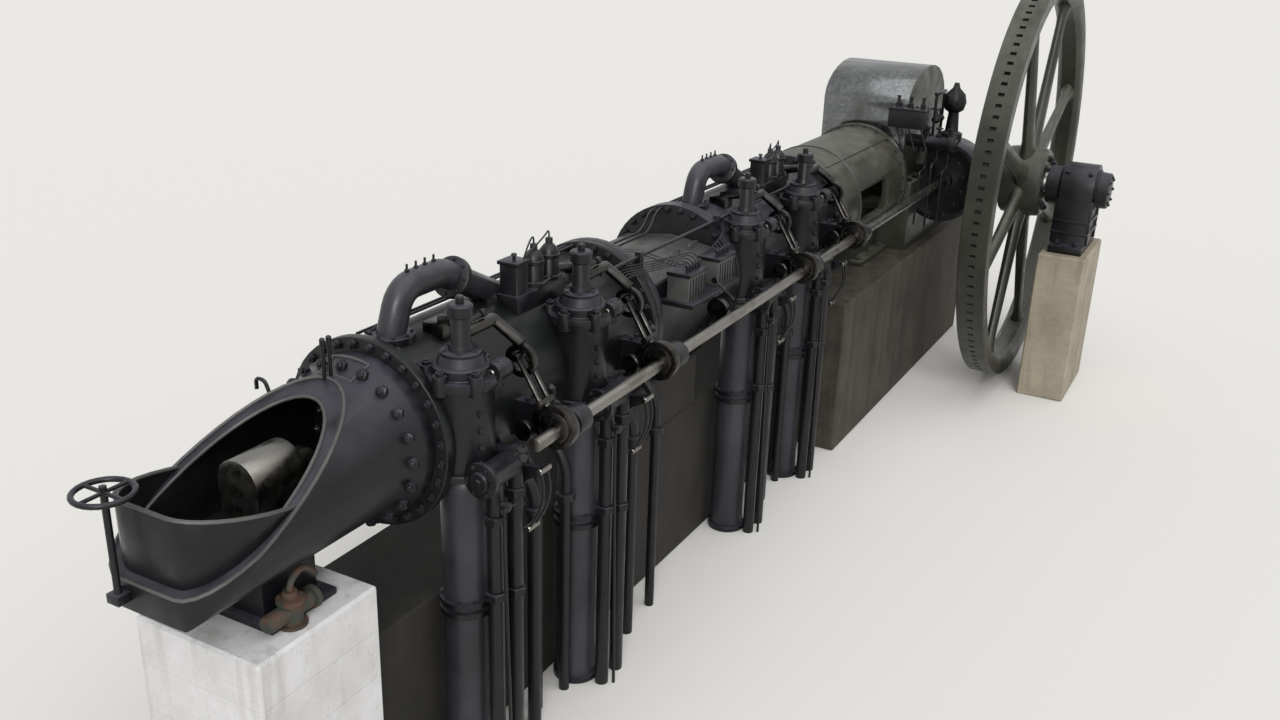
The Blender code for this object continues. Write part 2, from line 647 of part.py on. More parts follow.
def crank_hood():
    """A tall sheet hood over the crank, open underneath and notched round the bearing caps."""
    at = (0, 0, AXIS_Z)
    half = HOOD_HALF_WIDTH
    made = prism("crank_hood", "Y", hood_outline(0, SEAT_GAP), -half, half, GALVANISED, at)
    low = SEAT_GAP - OVERRUN
    inside = hood_outline(HOOD_WALL, low)
    cut(made, prism("crank_hood_inside", "Y", inside, HOOD_WALL - half, half - HOOD_WALL, GALVANISED, at))
    reach = CAP_HALF_LENGTH + SWING_CLEARANCE
    notch_low = (-reach, -half - OVERRUN, low - BITE)
    notch = block("crank_hood_notch", notch_low, (reach, half + OVERRUN, CAP_RADIUS + SWING_CLEARANCE), GALVANISED, at)
    cut(made, notch)


# Crankshaft and flywheel
WEB_THICKNESS = 0.16
PIN_LENGTH = 0.34
SHAFT_FAR = 0.95  # crankshaft beyond the axis on the far side
OUTBOARD_HALF_WIDTH = 0.22
OUTBOARD_PIER_HALF_WIDTH = 0.315
OUTBOARD_STANDOFF = 0.25  # outboard pier clear of the rim
OUTBOARD_SIDE = WHEEL_SIDE + WHEEL_WIDTH / 2 + OUTBOARD_STANDOFF + OUTBOARD_PIER_HALF_WIDTH
RIM_DEPTH = 0.28
HUB_RADIUS = 0.48
HUB_HALF_WIDTH = 0.28
ARM_COUNT = 8
ARM_WIDTH = 0.26
ARM_THICKNESS = 0.16
ARM_TAPER_SHARE = 0.75


def crankshaft():
    at = (0, 0, AXIS_Z)
    end = OUTBOARD_SIDE + OUTBOARD_HALF_WIDTH + OVERRUN
    ends = [(-end, JOURNAL_RADIUS), (SHAFT_FAR, JOURNAL_RADIUS)]
    made = turned("crankshaft", "Y", ends, LARGE_SIDES, BRIGHT_STEEL, at)
    reach = JOURNAL_RADIUS + OVERRUN
    half = PIN_LENGTH / 2
    cut(made, block("crankshaft_gap", (-reach, -half, -reach), (reach, half, reach), BRIGHT_STEEL, at))
    throw = STROKE / 2
    webs = []
    for k, side in enumerate((-1, 1)):
        low, high = sorted((side * (half - BITE), side * (half + WEB_THICKNESS)))
        outline = [
            (JOURNAL_RADIUS + BITE, -WEB_HALF_WIDTH),
            (JOURNAL_RADIUS + BITE, WEB_HALF_WIDTH),
            (-throw - PIN_RADIUS - WEB_END, WEB_TIP_HALF_WIDTH),
            (-throw - PIN_RADIUS - WEB_END, -WEB_TIP_HALF_WIDTH),
        ]
        webs.append(prism(f"crankshaft_web_{k}", "Y", outline, low, high, BRIGHT_STEEL, at))
    ends = [(-half - BITE, PIN_RADIUS), (half + BITE, PIN_RADIUS)]
    pin = turned("crankshaft_pin", "Y", ends, SMALL_SIDES, BRIGHT_STEEL, (-throw, 0, AXIS_Z))
    add(pin, *webs)
    add(made, pin)


def flywheel():
    at = (0, -WHEEL_SIDE, AXIS_Z)
    half = WHEEL_WIDTH / 2
    inner = WHEEL_RADIUS - RIM_DEPTH
    rim = [(-half, WHEEL_RADIUS), (half, WHEEL_RADIUS), (half, inner), (-half, inner)]
    made = collar("flywheel", "Y", rim, WHEEL_SIDES, OLIVE_IRON, at)
    bore = JOURNAL_RADIUS + SEAT_GAP
    half = HUB_HALF_WIDTH
    hub = [(-half, HUB_RADIUS), (half, HUB_RADIUS), (half, bore), (-half, bore)]
    boss = collar("flywheel_hub", "Y", hub, LARGE_SIDES, OLIVE_IRON, at)
    start = (HUB_RADIUS + bore) / 2
    for k in range(ARM_COUNT):
        angle = math.pi * (2 * k + 1) / ARM_COUNT
        along = Vector((math.cos(angle), 0, math.sin(angle)))
        across = Vector((-math.sin(angle), 0, math.cos(angle)))
        rings = []
        for reach, share in ((start, 1.0), (inner + BITE, ARM_TAPER_SHARE)):
            ring = []
            for a, b in circle(share / 2, PIPE_SIDES):
                ring.append(along * reach + across * a * ARM_WIDTH + Vector((0, b * ARM_THICKNESS, 0)))
            rings.append(ring)
        add(boss, loft(f"flywheel_arm_{k}", rings, OLIVE_IRON, at))
    add(made, boss)


# Outboard bearing
OUTBOARD_PIER_HEIGHT = 0.47
OUTBOARD_PIER_HALF_LENGTH = 0.675
PEDESTAL_FOOT_HEIGHT = 0.10
PEDESTAL_FOOT_REACH = 0.52
PEDESTAL_HALF_LENGTH = 0.34
OUTBOARD_CAP_STEPS = 12


def outboard_bearing():
    wide = OUTBOARD_PIER_HALF_WIDTH
    reach = OUTBOARD_PIER_HALF_LENGTH
    top = FLOOR_Z + OUTBOARD_PIER_HEIGHT
    pier("outboard_pier", (-reach, -OUTBOARD_SIDE - wide, 0), (reach, wide - OUTBOARD_SIDE, top), CONCRETE)
    at = (0, -OUTBOARD_SIDE, AXIS_Z)
    low = top + SEAT_GAP - AXIS_Z
    foot = low + PEDESTAL_FOOT_HEIGHT
    outline = [
        (-PEDESTAL_HALF_LENGTH, foot),
        (-PEDESTAL_FOOT_REACH, foot),
        (-PEDESTAL_FOOT_REACH, low),
        (PEDESTAL_FOOT_REACH, low),
        (PEDESTAL_FOOT_REACH, foot),
        (PEDESTAL_HALF_LENGTH, foot),
    ]
    for k in range(OUTBOARD_CAP_STEPS + 1):
        angle = math.pi * k / OUTBOARD_CAP_STEPS
        outline.append((PEDESTAL_HALF_LENGTH * math.cos(angle), PEDESTAL_HALF_LENGTH * math.sin(angle)))
    half = OUTBOARD_HALF_WIDTH
    made = prism("outboard_bearing", "Y", outline, -half, half, OLIVE_IRON, at)
    shell = [(-half - OVERRUN, SHELL_RADIUS), (half + OVERRUN, SHELL_RADIUS)]
    cut(made, turned("outboard_seat", "Y", shell, LARGE_SIDES, OLIVE_IRON, at))


# Side shaft, and one eccentric at each valve station
ECCENTRIC_RADIUS = 0.12
ECCENTRIC_THROW = 0.04
ECCENTRIC_WIDTH = 0.08
STRAP_RADIUS = 0.165
SHAFT_TAIL_REACH = 0.28  # side shaft beyond the first station
SHAFT_END_X = -0.42
ROD_TOP_SIDE = 0.80  # top pin of the eccentric rod to the engine axis
ROD_TOP_RISE = 0.52  # top pin above the engine axis
ROD_TOP_SHIFT = 0.0  # top pin from the eccentric, towards the tail
ROOT_RADIUS = 0.034
TWIN_BAR_RADIUS = 0.02
TWIN_BAR_SPREAD = 0.05  # half the distance between the twin bars
TOP_PIN_RADIUS = 0.03
TOP_PIN_REACH = 0.09
ECCENTRIC_TOP = Vector((0, 0, ECCENTRIC_THROW))


def stations():
    """Each valve station along the engine, from the tail, as the tail end of its cylinder and its own place."""
    places = []
    for end_x in (TAIL_X, DISTANCE_X):
        places += [(end_x, end_x + STATION_INSET), (end_x, end_x + CYLINDER_LENGTH - STATION_INSET)]
    return places


def side_shaft():
    at = (0, -SHAFT_SIDE, AXIS_Z)
    start = stations()[0][1] - SHAFT_TAIL_REACH
    ends = [(start, SIDE_SHAFT_RADIUS), (SHAFT_END_X, SIDE_SHAFT_RADIUS)]
    turned("side_shaft", "X", ends, SMALL_SIDES, BRIGHT_STEEL, at)


def eccentric(name, x):
    """A disc keyed on the side shaft, off its centre."""
    half = ECCENTRIC_WIDTH / 2
    at = Vector((x, -SHAFT_SIDE, AXIS_Z))
    made = turned(name, "X", [(-half, ECCENTRIC_RADIUS), (half, ECCENTRIC_RADIUS)], LARGE_SIDES, BRIGHT_STEEL,
                  at + ECCENTRIC_TOP)
    radius = SIDE_SHAFT_RADIUS + SEAT_GAP
    bore = [(-half - OVERRUN, radius), (half + OVERRUN, radius)]
    cut(made, turned(name + "_bore", "X", bore, SMALL_SIDES, BRIGHT_STEEL, at))


def eccentric_rod(name, x):
    """A strap round its eccentric, with twin bars up to a pin at the valve lever."""
    at = Vector((x, -SHAFT_SIDE, AXIS_Z)) + ECCENTRIC_TOP
    half = ECCENTRIC_WIDTH / 2
    inner = ECCENTRIC_RADIUS + SHAFT_CLEARANCE
    ring = [(-half, STRAP_RADIUS), (half, STRAP_RADIUS), (half, inner), (-half, inner)]
    made = collar(name, "X", ring, LARGE_SIDES, OILY_IRON, at)
    top = Vector((-ROD_TOP_SHIFT, SHAFT_SIDE - ROD_TOP_SIDE, ROD_TOP_RISE - ECCENTRIC_THROW))
    lean = Vector((0, top.y, top.z)).normalized()
    foot = lean * (STRAP_RADIUS + inner) / 2
    root = lean * (STRAP_RADIUS + SWING_CLEARANCE)
    yoke_half = Vector((TWIN_BAR_SPREAD + TWIN_BAR_RADIUS + BITE, 0, 0))
    add(made, tube(name + "_root", [foot, root], ROOT_RADIUS, PIPE_SIDES, OILY_IRON, at))
    add(made, tube(name + "_yoke", [root - yoke_half, root + yoke_half], TOP_PIN_RADIUS, PIPE_SIDES, OILY_IRON, at))
    for k, side in enumerate((-1, 1)):
        shift = Vector((side * TWIN_BAR_SPREAD, 0, 0))
        add(made, tube(f"{name}_bar_{k}", [root + shift, top + shift], TWIN_BAR_RADIUS, PIPE_SIDES, BRIGHT_STEEL, at))
    reach = Vector((TOP_PIN_REACH, 0, 0))
    add(made, tube(name + "_pin", [top - reach, top + reach], TOP_PIN_RADIUS, PIPE_SIDES, BRIGHT_STEEL, at))


# Shaft brackets
BRACKET_SHIFT = 0.24  # from the eccentric, towards the crankshaft
BRACKET_HALF_LENGTH = 0.06
BRACKET_HUB_RADIUS = 0.11
BRACKET_HALF_DEPTH = 0.07
BRACKET_ROOT_SIDE = 0.40
BRACKET_ROOT_DEPTH = 0.28


def shaft_bracket(name, x, end_x):
    middle = x + BRACKET_SHIFT
    half = BRACKET_HALF_LENGTH
    outline = [
        (-BRACKET_ROOT_SIDE, -BRACKET_ROOT_DEPTH),
        (-BRACKET_ROOT_SIDE, BRACKET_HALF_DEPTH),
        (-SHAFT_SIDE, BRACKET_HALF_DEPTH),
        (-SHAFT_SIDE, -BRACKET_HALF_DEPTH),
    ]
    made = prism(name, "X", outline, middle - half, middle + half, OILY_IRON, (0, 0, AXIS_Z))
    at = (middle, -SHAFT_SIDE, AXIS_Z)
    hub = [(-half - BITE, BRACKET_HUB_RADIUS), (half + BITE, BRACKET_HUB_RADIUS)]
    add(made, turned(name + "_hub", "X", hub, SMALL_SIDES, OILY_IRON, at))
    radius = SIDE_SHAFT_RADIUS + SHAFT_CLEARANCE
    bore = [(-half - OVERRUN, radius), (half + OVERRUN, radius)]
    cut(made, turned(name + "_bore", "X", bore, SMALL_SIDES, OILY_IRON, at))
    cut(made, barrel_space(name + "_saddle", end_x))


# Valve chests, exhaust columns and valve levers
CHEST_SHIFT = 0.43  # chest from its eccentric, towards the tail
CHEST_SIDE = 0.60
CHEST_RADIUS = 0.225
CHEST_FOOT = 0.25  # below the axis
CHEST_TOP = 0.42  # above the axis
BONNET_RADIUS = 0.26
BONNET_THICKNESS = 0.07
DOME_RADIUS = 0.15
DOME_HEIGHT = 0.14
CASE_TUBE_RADIUS = 0.07
CASE_TUBE_TOP = 0.94  # above the axis
COLUMN_RADIUS = 0.175
COLUMN_NECK = 0.10
COLUMN_SHOULDER = 0.16
COLUMN_STEPS = 4
LEVER_RADIUS = 0.045
LEVER_INNER_SIDE = 0.17  # inner end of the lever, over the barrel
LEVER_INNER_RISE = 0.68  # above the axis
LEVER_MIDDLE_SIDE = 0.60
LEVER_MIDDLE_RISE = 0.76
LEVER_LEAN = 0.10  # inner end of the lever towards the tail
LEVER_BOSS_HALF_LENGTH = 0.022
LEVER_BOSS_RADIUS = 0.125
LEVER_EYE = 0.078  # open eye round the moving pin
LOBE_COUNT = 6
LOBE_RADIUS = 0.05
LOBE_HEIGHT = 0.05


def valve_chest(name, x, end_x):
    at = (x - CHEST_SHIFT, -CHEST_SIDE, AXIS_Z)
    bonnet_top = CHEST_TOP + BONNET_THICKNESS
    profile = [
        (-CHEST_FOOT, CHEST_RADIUS),
        (CHEST_TOP, CHEST_RADIUS),
        (CHEST_TOP, BONNET_RADIUS),
        (bonnet_top, BONNET_RADIUS),
        (bonnet_top, CHEST_RADIUS - BITE),
        (bonnet_top + DOME_HEIGHT, DOME_RADIUS),
        (bonnet_top + DOME_HEIGHT, CASE_TUBE_RADIUS),
        (CASE_TUBE_TOP, CASE_TUBE_RADIUS),
    ]
    made = turned(name, "Z", profile, SMALL_SIDES, OILY_IRON, at)
    for k, (a, b) in enumerate(circle(BONNET_RADIUS - BITE, LOBE_COUNT)):
        lobe = [(CHEST_TOP - BITE, LOBE_RADIUS), (bonnet_top + LOBE_HEIGHT, LOBE_RADIUS)]
        place = (at[0] + a, at[1] + b, at[2])
        add(made, turned(f"{name}_lobe_{k}", "Z", lobe, PIPE_SIDES, OILY_IRON, place))
    cut(made, barrel_space(name + "_saddle", end_x))


def exhaust_column(name, x, end_x):
    at = (x - CHEST_SHIFT, -CHEST_SIDE, 0)
    top = AXIS_Z - CHEST_FOOT - SEAT_GAP
    profile = [(0, COLUMN_RADIUS)]
    for k in range(COLUMN_STEPS + 1):
        angle = math.pi / 2 * k / COLUMN_STEPS
        radius = COLUMN_NECK + (COLUMN_RADIUS - COLUMN_NECK) * math.cos(angle)
        profile.append((top - COLUMN_SHOULDER * (1 - math.sin(angle)), radius))
    made = turned(name, "Z", profile, SMALL_SIDES, OILY_IRON, at)
    cut(made, barrel_space(name + "_saddle", end_x))


def valve_lever(name, x, end_x):
    """A rocking beam from a block on the barrel to an open eye round the pin of the eccentric rod."""
    pin = Vector((x - ROD_TOP_SHIFT, -ROD_TOP_SIDE, AXIS_Z + ROD_TOP_RISE)) - ECCENTRIC_TOP
    inner = Vector((x - LEVER_LEAN, -LEVER_INNER_SIDE, AXIS_Z + LEVER_INNER_RISE))
    middle = Vector((x - LEVER_LEAN / 2, -LEVER_MIDDLE_SIDE, AXIS_Z + LEVER_MIDDLE_RISE))
    rise = Vector((0, 0, LEVER_BOSS_RADIUS))
    made = tube(name, [inner, middle, pin + rise], LEVER_RADIUS, PIPE_SIDES, BRIGHT_STEEL)
    half = LEVER_BOSS_HALF_LENGTH
    ring = [(-half, LEVER_BOSS_RADIUS), (half, LEVER_BOSS_RADIUS), (half, LEVER_EYE), (-half, LEVER_EYE)]
    add(made, collar(name + "_boss", "X", ring, SMALL_SIDES, BRIGHT_STEEL, pin))
    tube_x = x - CHEST_SHIFT
    reach = Vector((tube_x, -CHEST_SIDE, middle.z))
    add(made, tube(name + "_arm", [middle, reach], LEVER_RADIUS, PIPE_SIDES, BRIGHT_STEEL))
    low = inner - Vector((LEVER_RADIUS * 2, LEVER_RADIUS * 2, LEVER_INNER_RISE / 2))
    high = inner + Vector((LEVER_RADIUS * 2, LEVER_RADIUS * 2, 0))
    add(made, block(name + "_stand", low, high, BRIGHT_STEEL))
    case = [(0, CASE_TUBE_RADIUS + SEAT_GAP), (CASE_TUBE_TOP + OVERRUN, CASE_TUBE_RADIUS + SEAT_GAP)]
    space = turned(name + "_tube_space", "Z", case, SMALL_SIDES, BRIGHT_STEEL, (tube_x, -CHEST_SIDE, AXIS_Z))
    cut(made, space, barrel_space(name + "_saddle", end_x))


# Gas valves: a flanged port on each chest, with two pipes down to the foot of the foundation
PORT_SHIFT = 0.44  # middle of the port from its eccentric, towards the tail
PORT_SIDE = 0.87
PORT_DROP = 0.20  # below the axis
PORT_RADIUS = 0.10
PORT_HALF_LENGTH = 0.17
PORT_FLANGE_RADIUS = 0.135
PORT_FLANGE_THICKNESS = 0.035
RISER_RADIUS = 0.06
RISER_SPACING = 0.19


def gas_valve(name, x):
    at = (x - PORT_SHIFT, -PORT_SIDE, AXIS_Z - PORT_DROP)
    flange = PORT_FLANGE_THICKNESS - PORT_HALF_LENGTH
    profile = [
        (-PORT_HALF_LENGTH, PORT_FLANGE_RADIUS),
        (flange, PORT_FLANGE_RADIUS),
        (flange, PORT_RADIUS),
        (PORT_HALF_LENGTH, PORT_RADIUS),
    ]
    made = turned(name, "X", profile, SMALL_SIDES, OILY_IRON, at)
    foot = PORT_DROP - AXIS_Z
    first = [(0, 0, 0), (0, 0, foot)]
    add(made, tube(name + "_riser", first, RISER_RADIUS, PIPE_SIDES, OILY_IRON, at))
    start = PORT_HALF_LENGTH - BITE
    corners = [(start, 0, 0), (start + RISER_SPACING / 2, 0, 0), (start + RISER_SPACING / 2, 0, foot)]
    bend = bent(corners, RISER_RADIUS + BITE, ARCH_STEPS)
    add(made, tube(name + "_second_riser", bend, RISER_RADIUS, PIPE_SIDES, OILY_IRON, at))
    chest = [(-CHEST_FOOT - OVERRUN, CHEST_RADIUS + SEAT_GAP), (CHEST_TOP, CHEST_RADIUS + SEAT_GAP)]
    place = (x - CHEST_SHIFT, -CHEST_SIDE, AXIS_Z)
    cut(made, turned(name + "_saddle", "Z", chest, SMALL_SIDES, OILY_IRON, place))


# Intake arches
ARCH_START = 0.27  # from the tail end of the cylinder
ARCH_LEAN = 0.15  # the steep leg leans this far towards the crankshaft
ARCH_TOP_LENGTH = 0.46
ARCH_FALL_LENGTH = 0.76
ARCH_RISE = 0.33  # middle of the pipe above the barrel
ARCH_PIPE_RADIUS = 0.105
ARCH_BEND = 0.20
ARCH_STEPS = 5
ARCH_SINK = 0.06


def intake_arch(name, end_x):
    """A pipe that rises steeply from the barrel, runs level and falls back slowly."""
    start = end_x + ARCH_START
    level = start + ARCH_LEAN
    turn = level + ARCH_TOP_LENGTH
    low = AXIS_Z + BARREL_RADIUS - ARCH_SINK
    top = AXIS_Z + BARREL_RADIUS + ARCH_RISE
    corners = [(start, 0, low), (level, 0, top), (turn, 0, top), (turn + ARCH_FALL_LENGTH, 0, low)]
    made = tube(name, bent(corners, ARCH_BEND, ARCH_STEPS), ARCH_PIPE_RADIUS, SMALL_SIDES, OILY_IRON)
    cut(made, barrel_space(name + "_saddle", end_x))


# Ignition stands on the cylinders
STAND_START = 1.39  # from the tail end of the cylinder
STAND_LENGTH = 0.68
STAND_SIDE = 0.225
STAND_HALF_WIDTH = 0.10
STAND_TOP = 0.67  # above the axis
COIL_BOX_LENGTH = 0.16
COIL_BOX_HEIGHT = 0.24
POT_RADIUS = 0.08
POT_HEIGHT = 0.28
POT_DOME = 0.05
POT_CAP_RADIUS = 0.03
POT_PLACES = (0.37, 0.59)  # along the stand


def ignition_stand(name, end_x):
    """A shelf bolted on the barrel, with a coil box and two igniter pots."""
    start = end_x + STAND_START
    low_side = -STAND_SIDE - STAND_HALF_WIDTH
    high_side = STAND_HALF_WIDTH - STAND_SIDE
    top = AXIS_Z + STAND_TOP
    shelf_low = AXIS_Z + BARREL_RADIUS - CASE_RIM - STAND_HALF_WIDTH
    made = block(name, (start, low_side, shelf_low), (start + STAND_LENGTH, high_side, top), OILY_IRON)
    box_low = (start + BITE, low_side + BITE, top - BITE)
    box_high = (start + BITE + COIL_BOX_LENGTH, high_side - BITE, top + COIL_BOX_HEIGHT)
    add(made, block(name + "_box", box_low, box_high, OILY_IRON))
    shoulder = POT_HEIGHT - POT_DOME
    pot = [(-BITE, POT_RADIUS), (shoulder, POT_RADIUS), (POT_HEIGHT, POT_RADIUS / 2), (POT_HEIGHT, POT_CAP_RADIUS)]
    pot.append((POT_HEIGHT + POT_DOME, POT_CAP_RADIUS))
    for k, along in enumerate(POT_PLACES):
        place = (start + along, -STAND_SIDE, top)
        add(made, turned(f"{name}_pot_{k}", "Z", pot, SMALL_SIDES, OILY_IRON, place))
    cut(made, barrel_space(name + "_saddle", end_x))


# Gear case at the crank end of the side shaft
CASE_START_X = -0.85
CASE_END_X = -0.30
CASE_RECESS = 0.16
CASE_RIM = 0.07
CASE_BOSS_RADIUS = 0.13
PINION_CASE_RADIUS = 0.37
PINION_CASE_NEAR = 1.34  # side of the pinion case nearest the flywheel, to the engine axis
GOVERNOR_X = -0.575
GOVERNOR_PROFILE = (  # above the axis, and radius
    (0.48, 0.15),
    (0.64, 0.15),
    (0.67, 0.09),
    (0.92, 0.07),
    (0.96, 0.13),
    (1.06, 0.155),
    (1.17, 0.13),
    (1.25, 0.05),
    (1.32, 0.03),
)
CROSS_PIPE_X = -1.01
CROSS_PIPE_RISE = 0.56
CROSS_PIPE_SIDES = (0.63, 1.28)  # ends, to the engine axis
CROSS_PIPE_RADIUS = 0.085
CROSS_PIPE_FLANGE = 0.12
TRIP_BOX_SIDES = (0.42, 0.92)
TRIP_BOX_X = (-1.34, -1.10)
TRIP_BOX_RISE = (0.76, 1.00)


def governor_gear(case):
    """Adds the governor on the gear case, and the cross pipe and trip box that it works."""
    column = turned("governor", "Z", GOVERNOR_PROFILE, SMALL_SIDES, OILY_IRON, (GOVERNOR_X, -SHAFT_SIDE, AXIS_Z))
    at = (CROSS_PIPE_X, 0, AXIS_Z + CROSS_PIPE_RISE)
    inner, outer = CROSS_PIPE_SIDES
    profile = [
        (-outer, CROSS_PIPE_FLANGE),
        (FLANGE_THICKNESS - outer, CROSS_PIPE_FLANGE),
        (FLANGE_THICKNESS - outer, CROSS_PIPE_RADIUS),
        (-inner, CROSS_PIPE_RADIUS),
    ]
    pipe = turned("cross_pipe", "Y", profile, SMALL_SIDES, OILY_IRON, at)
    post_half = CROSS_PIPE_RADIUS - BITE
    post_low = (CROSS_PIPE_X - post_half, -SHAFT_SIDE - post_half, AXIS_Z + CASE_RADIUS - CASE_RIM + BITE / 2)
    post_high = (CASE_START_X + CASE_RIM, post_half - SHAFT_SIDE, AXIS_Z + CROSS_PIPE_RISE)
    near, far = TRIP_BOX_SIDES
    box_low = (TRIP_BOX_X[0], -far, AXIS_Z + TRIP_BOX_RISE[0])
    box = block("trip_box", box_low, (TRIP_BOX_X[1], -near, AXIS_Z + TRIP_BOX_RISE[1]), OILY_IRON)
    web_low = (TRIP_BOX_X[1] - BITE, BITE - far, AXIS_Z + CROSS_PIPE_RISE)
    web = block("trip_box_web", web_low, (CROSS_PIPE_X, -far + CASE_RIM, box_low[2] + CASE_RIM), OILY_IRON)
    add(case, column, block("cross_pipe_post", post_low, post_high, OILY_IRON), pipe, web, box)


def gear_case():
    """The case of the pair of bevel gears, bolted to the side of the crank bay."""
    at = (0, -SHAFT_SIDE, AXIS_Z)
    back = -BAY_HALF_WIDTH - SEAT_GAP
    body = [(CASE_START_X, CASE_RADIUS), (CASE_END_X, CASE_RADIUS)]
    made = turned("gear_case", "X", body, LARGE_SIDES, OILY_IRON, at)
    inner = CASE_RADIUS - CASE_RIM
    dish = [(CASE_START_X - OVERRUN, inner), (CASE_START_X + CASE_RECESS, inner)]
    cut(made, turned("gear_case_dish", "X", dish, LARGE_SIDES, OILY_IRON, at))
    boss = [(CASE_START_X + BITE, CASE_BOSS_RADIUS), (CASE_START_X + CASE_RECESS + BITE, CASE_BOSS_RADIUS)]
    add(made, turned("gear_case_boss", "X", boss, SMALL_SIDES, OILY_IRON, at))
    ends = [(-PINION_CASE_NEAR, PINION_CASE_RADIUS), (back, PINION_CASE_RADIUS)]
    add(made, turned("gear_case_pinion", "Y", ends, LARGE_SIDES, OILY_IRON, (0, 0, AXIS_Z)))
    trim = block(
        "gear_case_back",
        (CASE_START_X - OVERRUN, back, AXIS_Z - CASE_RADIUS - OVERRUN),
        (PINION_CASE_RADIUS + OVERRUN, 0, AXIS_Z + CASE_RADIUS + OVERRUN),
        OILY_IRON,
    )
    cut(made, trim)
    radius = SIDE_SHAFT_RADIUS + SHAFT_CLEARANCE
    shaft = [(CASE_START_X - OVERRUN, radius), (SHAFT_END_X + SWING_CLEARANCE, radius)]
    cut(made, turned("gear_case_bore", "X", shaft, SMALL_SIDES, OILY_IRON, at))
    main = [(-PINION_CASE_NEAR - OVERRUN, SHELL_RADIUS), (0, SHELL_RADIUS)]
    cut(made, turned("gear_case_main_bore", "Y", main, LARGE_SIDES, OILY_IRON, (0, 0, AXIS_Z)))
    governor_gear(made)


# Lubricators beside the distance piece
LUBRICATOR_LENGTH = 0.34
LUBRICATOR_WIDTH = 0.22
LUBRICATOR_HEIGHT = 0.26
LUBRICATOR_SPACING = 0.62
SHELF_WIDTH = 0.34
SHELF_THICKNESS = 0.05
SHELF_RISE = 0.16  # above the axis


def lubricators():
    middle = (TAIL_CYLINDER_X + DISTANCE_X) / 2
    near = TROUGH_HALF_WIDTH + SEAT_GAP
    reach = (LUBRICATOR_SPACING + LUBRICATOR_LENGTH) / 2 + BITE
    top = AXIS_Z + SHELF_RISE
    low = (middle - reach, -near - SHELF_WIDTH, top - SHELF_THICKNESS)
    block("lubricator_shelf", low, (middle + reach, -near, top), OILY_IRON)
    base = top + SEAT_GAP
    y = -near - SHELF_WIDTH / 2
    wide = LUBRICATOR_WIDTH / 2
    long = LUBRICATOR_LENGTH / 2
    for name, side in (("lubricator_tail", -1), ("lubricator_crank", 1)):
        x = middle + side * LUBRICATOR_SPACING / 2
        block(name, (x - long, y - wide, base), (x + long, y + wide, base + LUBRICATOR_HEIGHT), PLATE)


foundation()
tail_guide()
tail_pan()
tail_handwheel()
tail_crosshead()
tail_cylinder()
distance_piece()
cylinder_body("crank_cylinder", DISTANCE_X)
main_guide()
main_frame()
bearing_cap("bearing_cap_near", -1)
bearing_cap("bearing_cap_far", 1)
crank_hood()
crankshaft()
flywheel()
outboard_bearing()
side_shaft()
for number, (cylinder_x, station_x) in enumerate(stations(), start=1):
    eccentric(f"eccentric_{number}", station_x)
    eccentric_rod(f"eccentric_rod_{number}", station_x)
    shaft_bracket(f"shaft_bracket_{number}", station_x, cylinder_x)
    valve_chest(f"valve_chest_{number}", station_x, cylinder_x)
    exhaust_column(f"exhaust_column_{number}", station_x, cylinder_x)
    valve_lever(f"valve_lever_{number}", station_x, cylinder_x)
    gas_valve(f"gas_valve_{number}", station_x)
intake_arch("intake_arch_tail", TAIL_X)
intake_arch("intake_arch_crank", DISTANCE_X)
ignition_stand("ignition_stand_tail", TAIL_X)
ignition_stand("ignition_stand_crank", DISTANCE_X)
gear_case()
lubricators()
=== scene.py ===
# %% [markdown]
# # A tandem gas engine
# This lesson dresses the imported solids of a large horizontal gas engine: two cylinders in line, a side
# shaft that works the valves, and a flywheel. The solids already have the right size and place, so
# Blender adds what a foundry, a machine shop and a century of oil leave behind. Lengths are in metres,
# and +X runs from the tail of the engine to its crankshaft.

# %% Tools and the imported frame
import json
import math

import bmesh
import bpy
from mathutils import Matrix, Vector


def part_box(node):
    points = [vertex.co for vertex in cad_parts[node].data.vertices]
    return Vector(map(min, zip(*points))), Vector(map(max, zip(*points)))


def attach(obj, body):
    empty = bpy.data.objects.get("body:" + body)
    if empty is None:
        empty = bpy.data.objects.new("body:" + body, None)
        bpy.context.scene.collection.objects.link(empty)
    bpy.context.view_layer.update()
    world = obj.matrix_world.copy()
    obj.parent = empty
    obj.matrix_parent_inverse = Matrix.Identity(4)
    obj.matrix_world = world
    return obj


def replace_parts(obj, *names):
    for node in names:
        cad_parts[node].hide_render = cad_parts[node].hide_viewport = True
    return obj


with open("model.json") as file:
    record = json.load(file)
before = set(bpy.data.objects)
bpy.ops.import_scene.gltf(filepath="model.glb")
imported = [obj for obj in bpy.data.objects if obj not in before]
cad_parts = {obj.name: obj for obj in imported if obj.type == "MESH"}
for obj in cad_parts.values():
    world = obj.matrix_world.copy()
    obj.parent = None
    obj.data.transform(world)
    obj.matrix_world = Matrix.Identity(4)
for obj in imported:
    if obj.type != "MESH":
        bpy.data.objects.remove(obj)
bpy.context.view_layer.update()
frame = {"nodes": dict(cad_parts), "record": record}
slot_of = {entry["node"]: entry["material_slot"] for entry in frame["record"]["subparts"]}
body_of = {node: body for body, nodes in frame["record"]["behaviour"]["bodies"].items() for node in nodes}

# %% [markdown]
# ## Where things are
# Places are worked out from the boxes of the solids, or measured from the crankshaft, whose axis is where x
# is zero. So a piece still fits when the engine is built longer or lower.


# %% Datum lines of the engine
def middle_of(node):
    """The middle of a solid's box."""
    low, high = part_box(node)
    return (low + high) / 2


